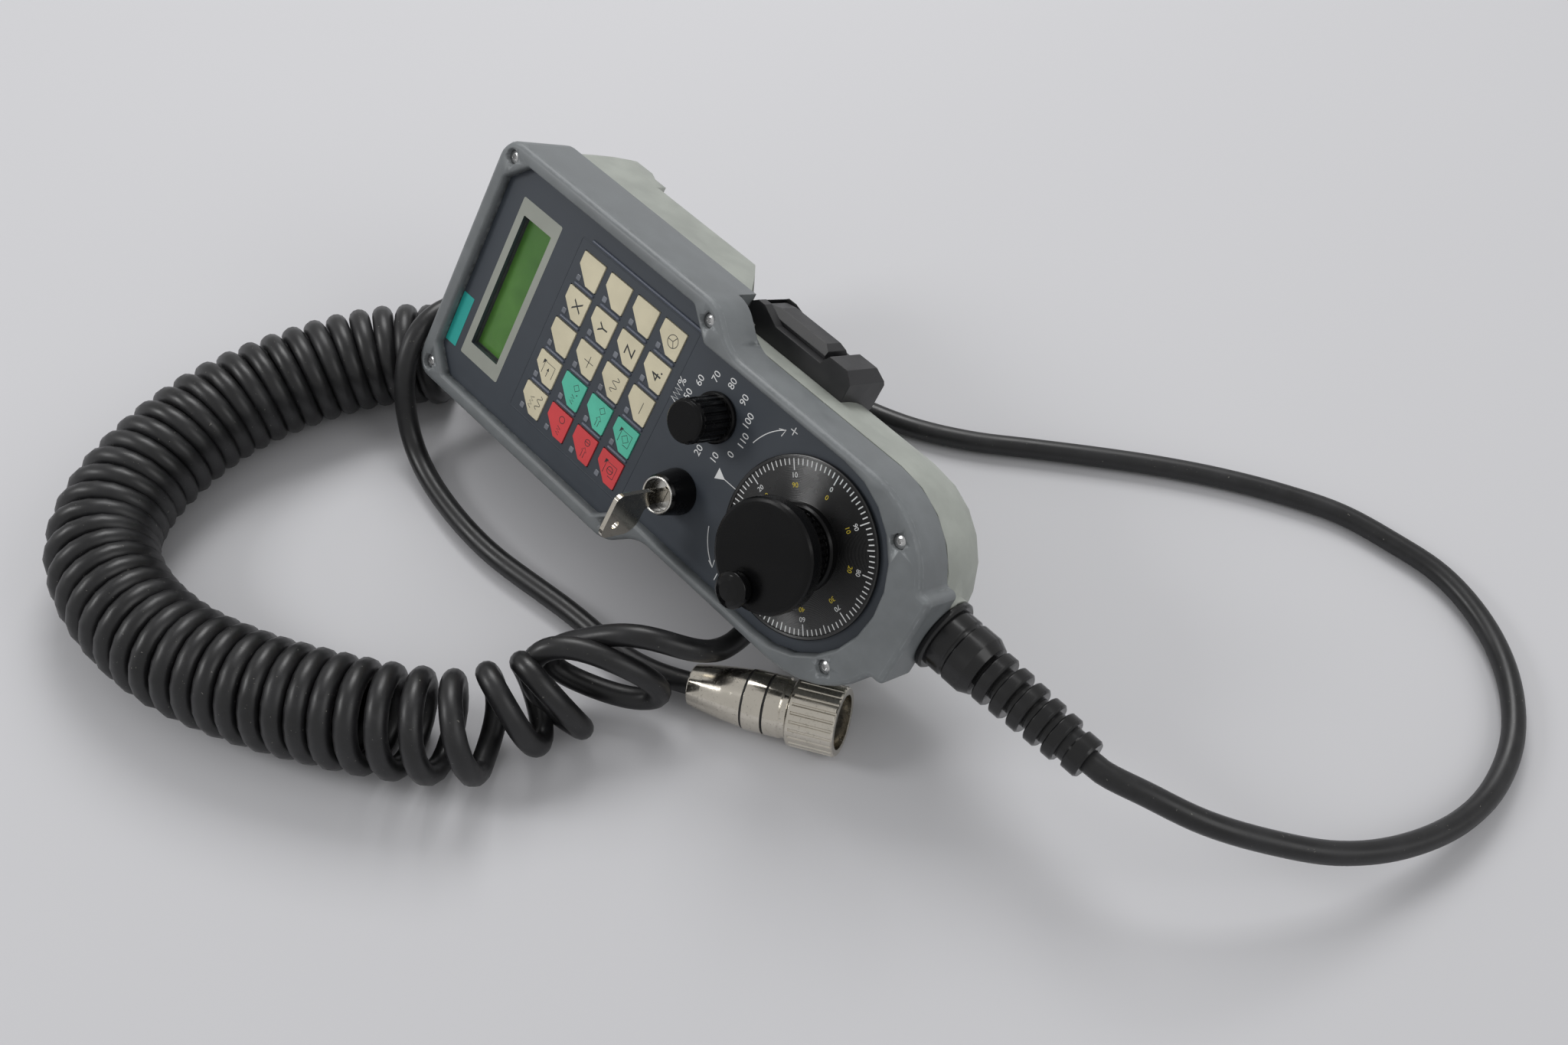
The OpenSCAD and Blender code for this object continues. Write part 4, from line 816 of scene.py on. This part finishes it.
def closeHoles(made):
    # the walls of both holes go, and what is left open is closed
    mesh = made.data
    inHole = set()
    for side in (-1, 1):
        middle = onHousing(side * endHoles["x"], endHoles["y"], 0)
        for point in mesh.vertices:
            reach = (point.co - middle).cross(outOfFace).length / mm
            if abs(reach - endHoles["radius"]) < endHoles["slack"]:
                inHole.add(point.index)
    bpy.ops.object.mode_set(mode="EDIT")
    bpy.ops.mesh.select_mode(type="FACE")
    bpy.ops.mesh.select_all(action="DESELECT")
    bpy.ops.object.mode_set(mode="OBJECT")
    for face in mesh.polygons:
        face.select = all(corner in inHole for corner in face.vertices)
    bpy.ops.object.mode_set(mode="EDIT")
    bpy.ops.mesh.delete(type="FACE")
    bpy.ops.mesh.select_mode(type="EDGE")
    bpy.ops.mesh.select_non_manifold()
    bpy.ops.mesh.fill_holes(sides=0)
    bpy.ops.mesh.quads_convert_to_tris(quad_method="BEAUTY", ngon_method="BEAUTY")
    bpy.ops.object.mode_set(mode="OBJECT")


def soften(name, body, smooth):
    source = nodes[name]
    made = source.copy()
    made.data = source.data.copy()
    made.name = made.data.name = name + "_soft"
    bpy.context.scene.collection.objects.link(made)
    made.data.transform(made.matrix_world)
    made.matrix_world = Matrix.Identity(4)
    pick(made)
    bpy.ops.object.mode_set(mode="EDIT")
    bpy.ops.mesh.select_all(action="SELECT")
    bpy.ops.mesh.remove_doubles(threshold=mergeWithin)
    bpy.ops.object.mode_set(mode="OBJECT")
    if name == endHoles["piece"]:
        closeHoles(made)
    bpy.ops.object.shade_smooth_by_angle(angle=math.radians(smooth))
    weigh = made.modifiers.new("even", "WEIGHTED_NORMAL")
    weigh.keep_sharp = True
    bpy.ops.object.modifier_apply(modifier="even")
    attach(made, body)
    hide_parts(name)
    made.select_set(False)


for name, facts in softened.items():
    soften(name, **facts)
print("housing softened")

# Floor and lamps
studio = {
    "floorSize": 6, "floorCuts": 4, "floor": (200, 200, 203), "floorDark": (195, 195, 198),
    "cloud": 700,  # width of the floor's uneven patches, in millimetres
    "fade": (1.0, 2.6), "sky": 0.5,  # how far out the floor starts to turn into the sky, and has done so
    "lamps": [
        # place, size, watts
        ((-0.9, 0.9, 1.5), 0.9, 17), ((1.3, 0.5, 1.2), 1.0, 5), ((-1.05, -1.15, 1.15), 0.5, 8),
    ],
}


def makeStudio():
    bpy.ops.mesh.primitive_plane_add(size=studio["floorSize"])
    floor = bpy.context.object
    floor.name = "floor"
    bpy.ops.object.mode_set(mode="EDIT")
    bpy.ops.mesh.subdivide(number_cuts=studio["floorCuts"])
    bpy.ops.object.mode_set(mode="OBJECT")
    ground = Finish("floor", Roughness=0.7)
    cloud = ground.noise(studio["cloud"], 2)
    ground.set(Base_Color=ground.blend(colour(*studio["floorDark"]), colour(*studio["floor"]), cloud))
    # the camera, metal and glass see the floor turn into the sky, and its shadows stay
    away = ground.vectors("LENGTH", ground.place(), out=1)
    seen = [ground.node("ShaderNodeLightPath", out=f"Is {ray} Ray")
            for ray in ("Camera", "Glossy", "Transmission")]
    far = ground.span(away, *studio["fade"]) * (seen[0] + seen[1] + seen[2])
    sky = ground.node("ShaderNodeEmission", None, {"Color": (1, 1, 1), "Strength": studio["sky"]})
    near = Wire(ground, ground.shader.outputs[0])
    both = ground.node("ShaderNodeMixShader", None, {0: far, 1: near, 2: sky})
    ground.plug(ground.tree.nodes["Material Output"].inputs["Surface"], both)
    floor.data.materials.append(ground.material)
    for n, (place, size, power) in enumerate(studio["lamps"]):
        data = bpy.data.lights.new(f"lamp{n + 1}", "AREA")
        data.size = size
        data.energy = power
        lamp = bpy.data.objects.new(f"lamp{n + 1}", data)
        lamp.location = place
        lamp.rotation_euler = (Vector((0, 0, 0)) - Vector(place)).to_track_quat("-Z", "Y").to_euler()
        bpy.context.scene.collection.objects.link(lamp)
    world = bpy.data.worlds.new("sky")
    bpy.context.scene.world = world
    world.use_nodes = True
    light = world.node_tree.nodes["Background"]
    light.inputs["Color"].default_value = (1, 1, 1, 1)
    light.inputs["Strength"].default_value = studio["sky"]
    bpy.context.scene.view_settings.view_transform = "Standard"


makeStudio()
print("floor and lamps set")
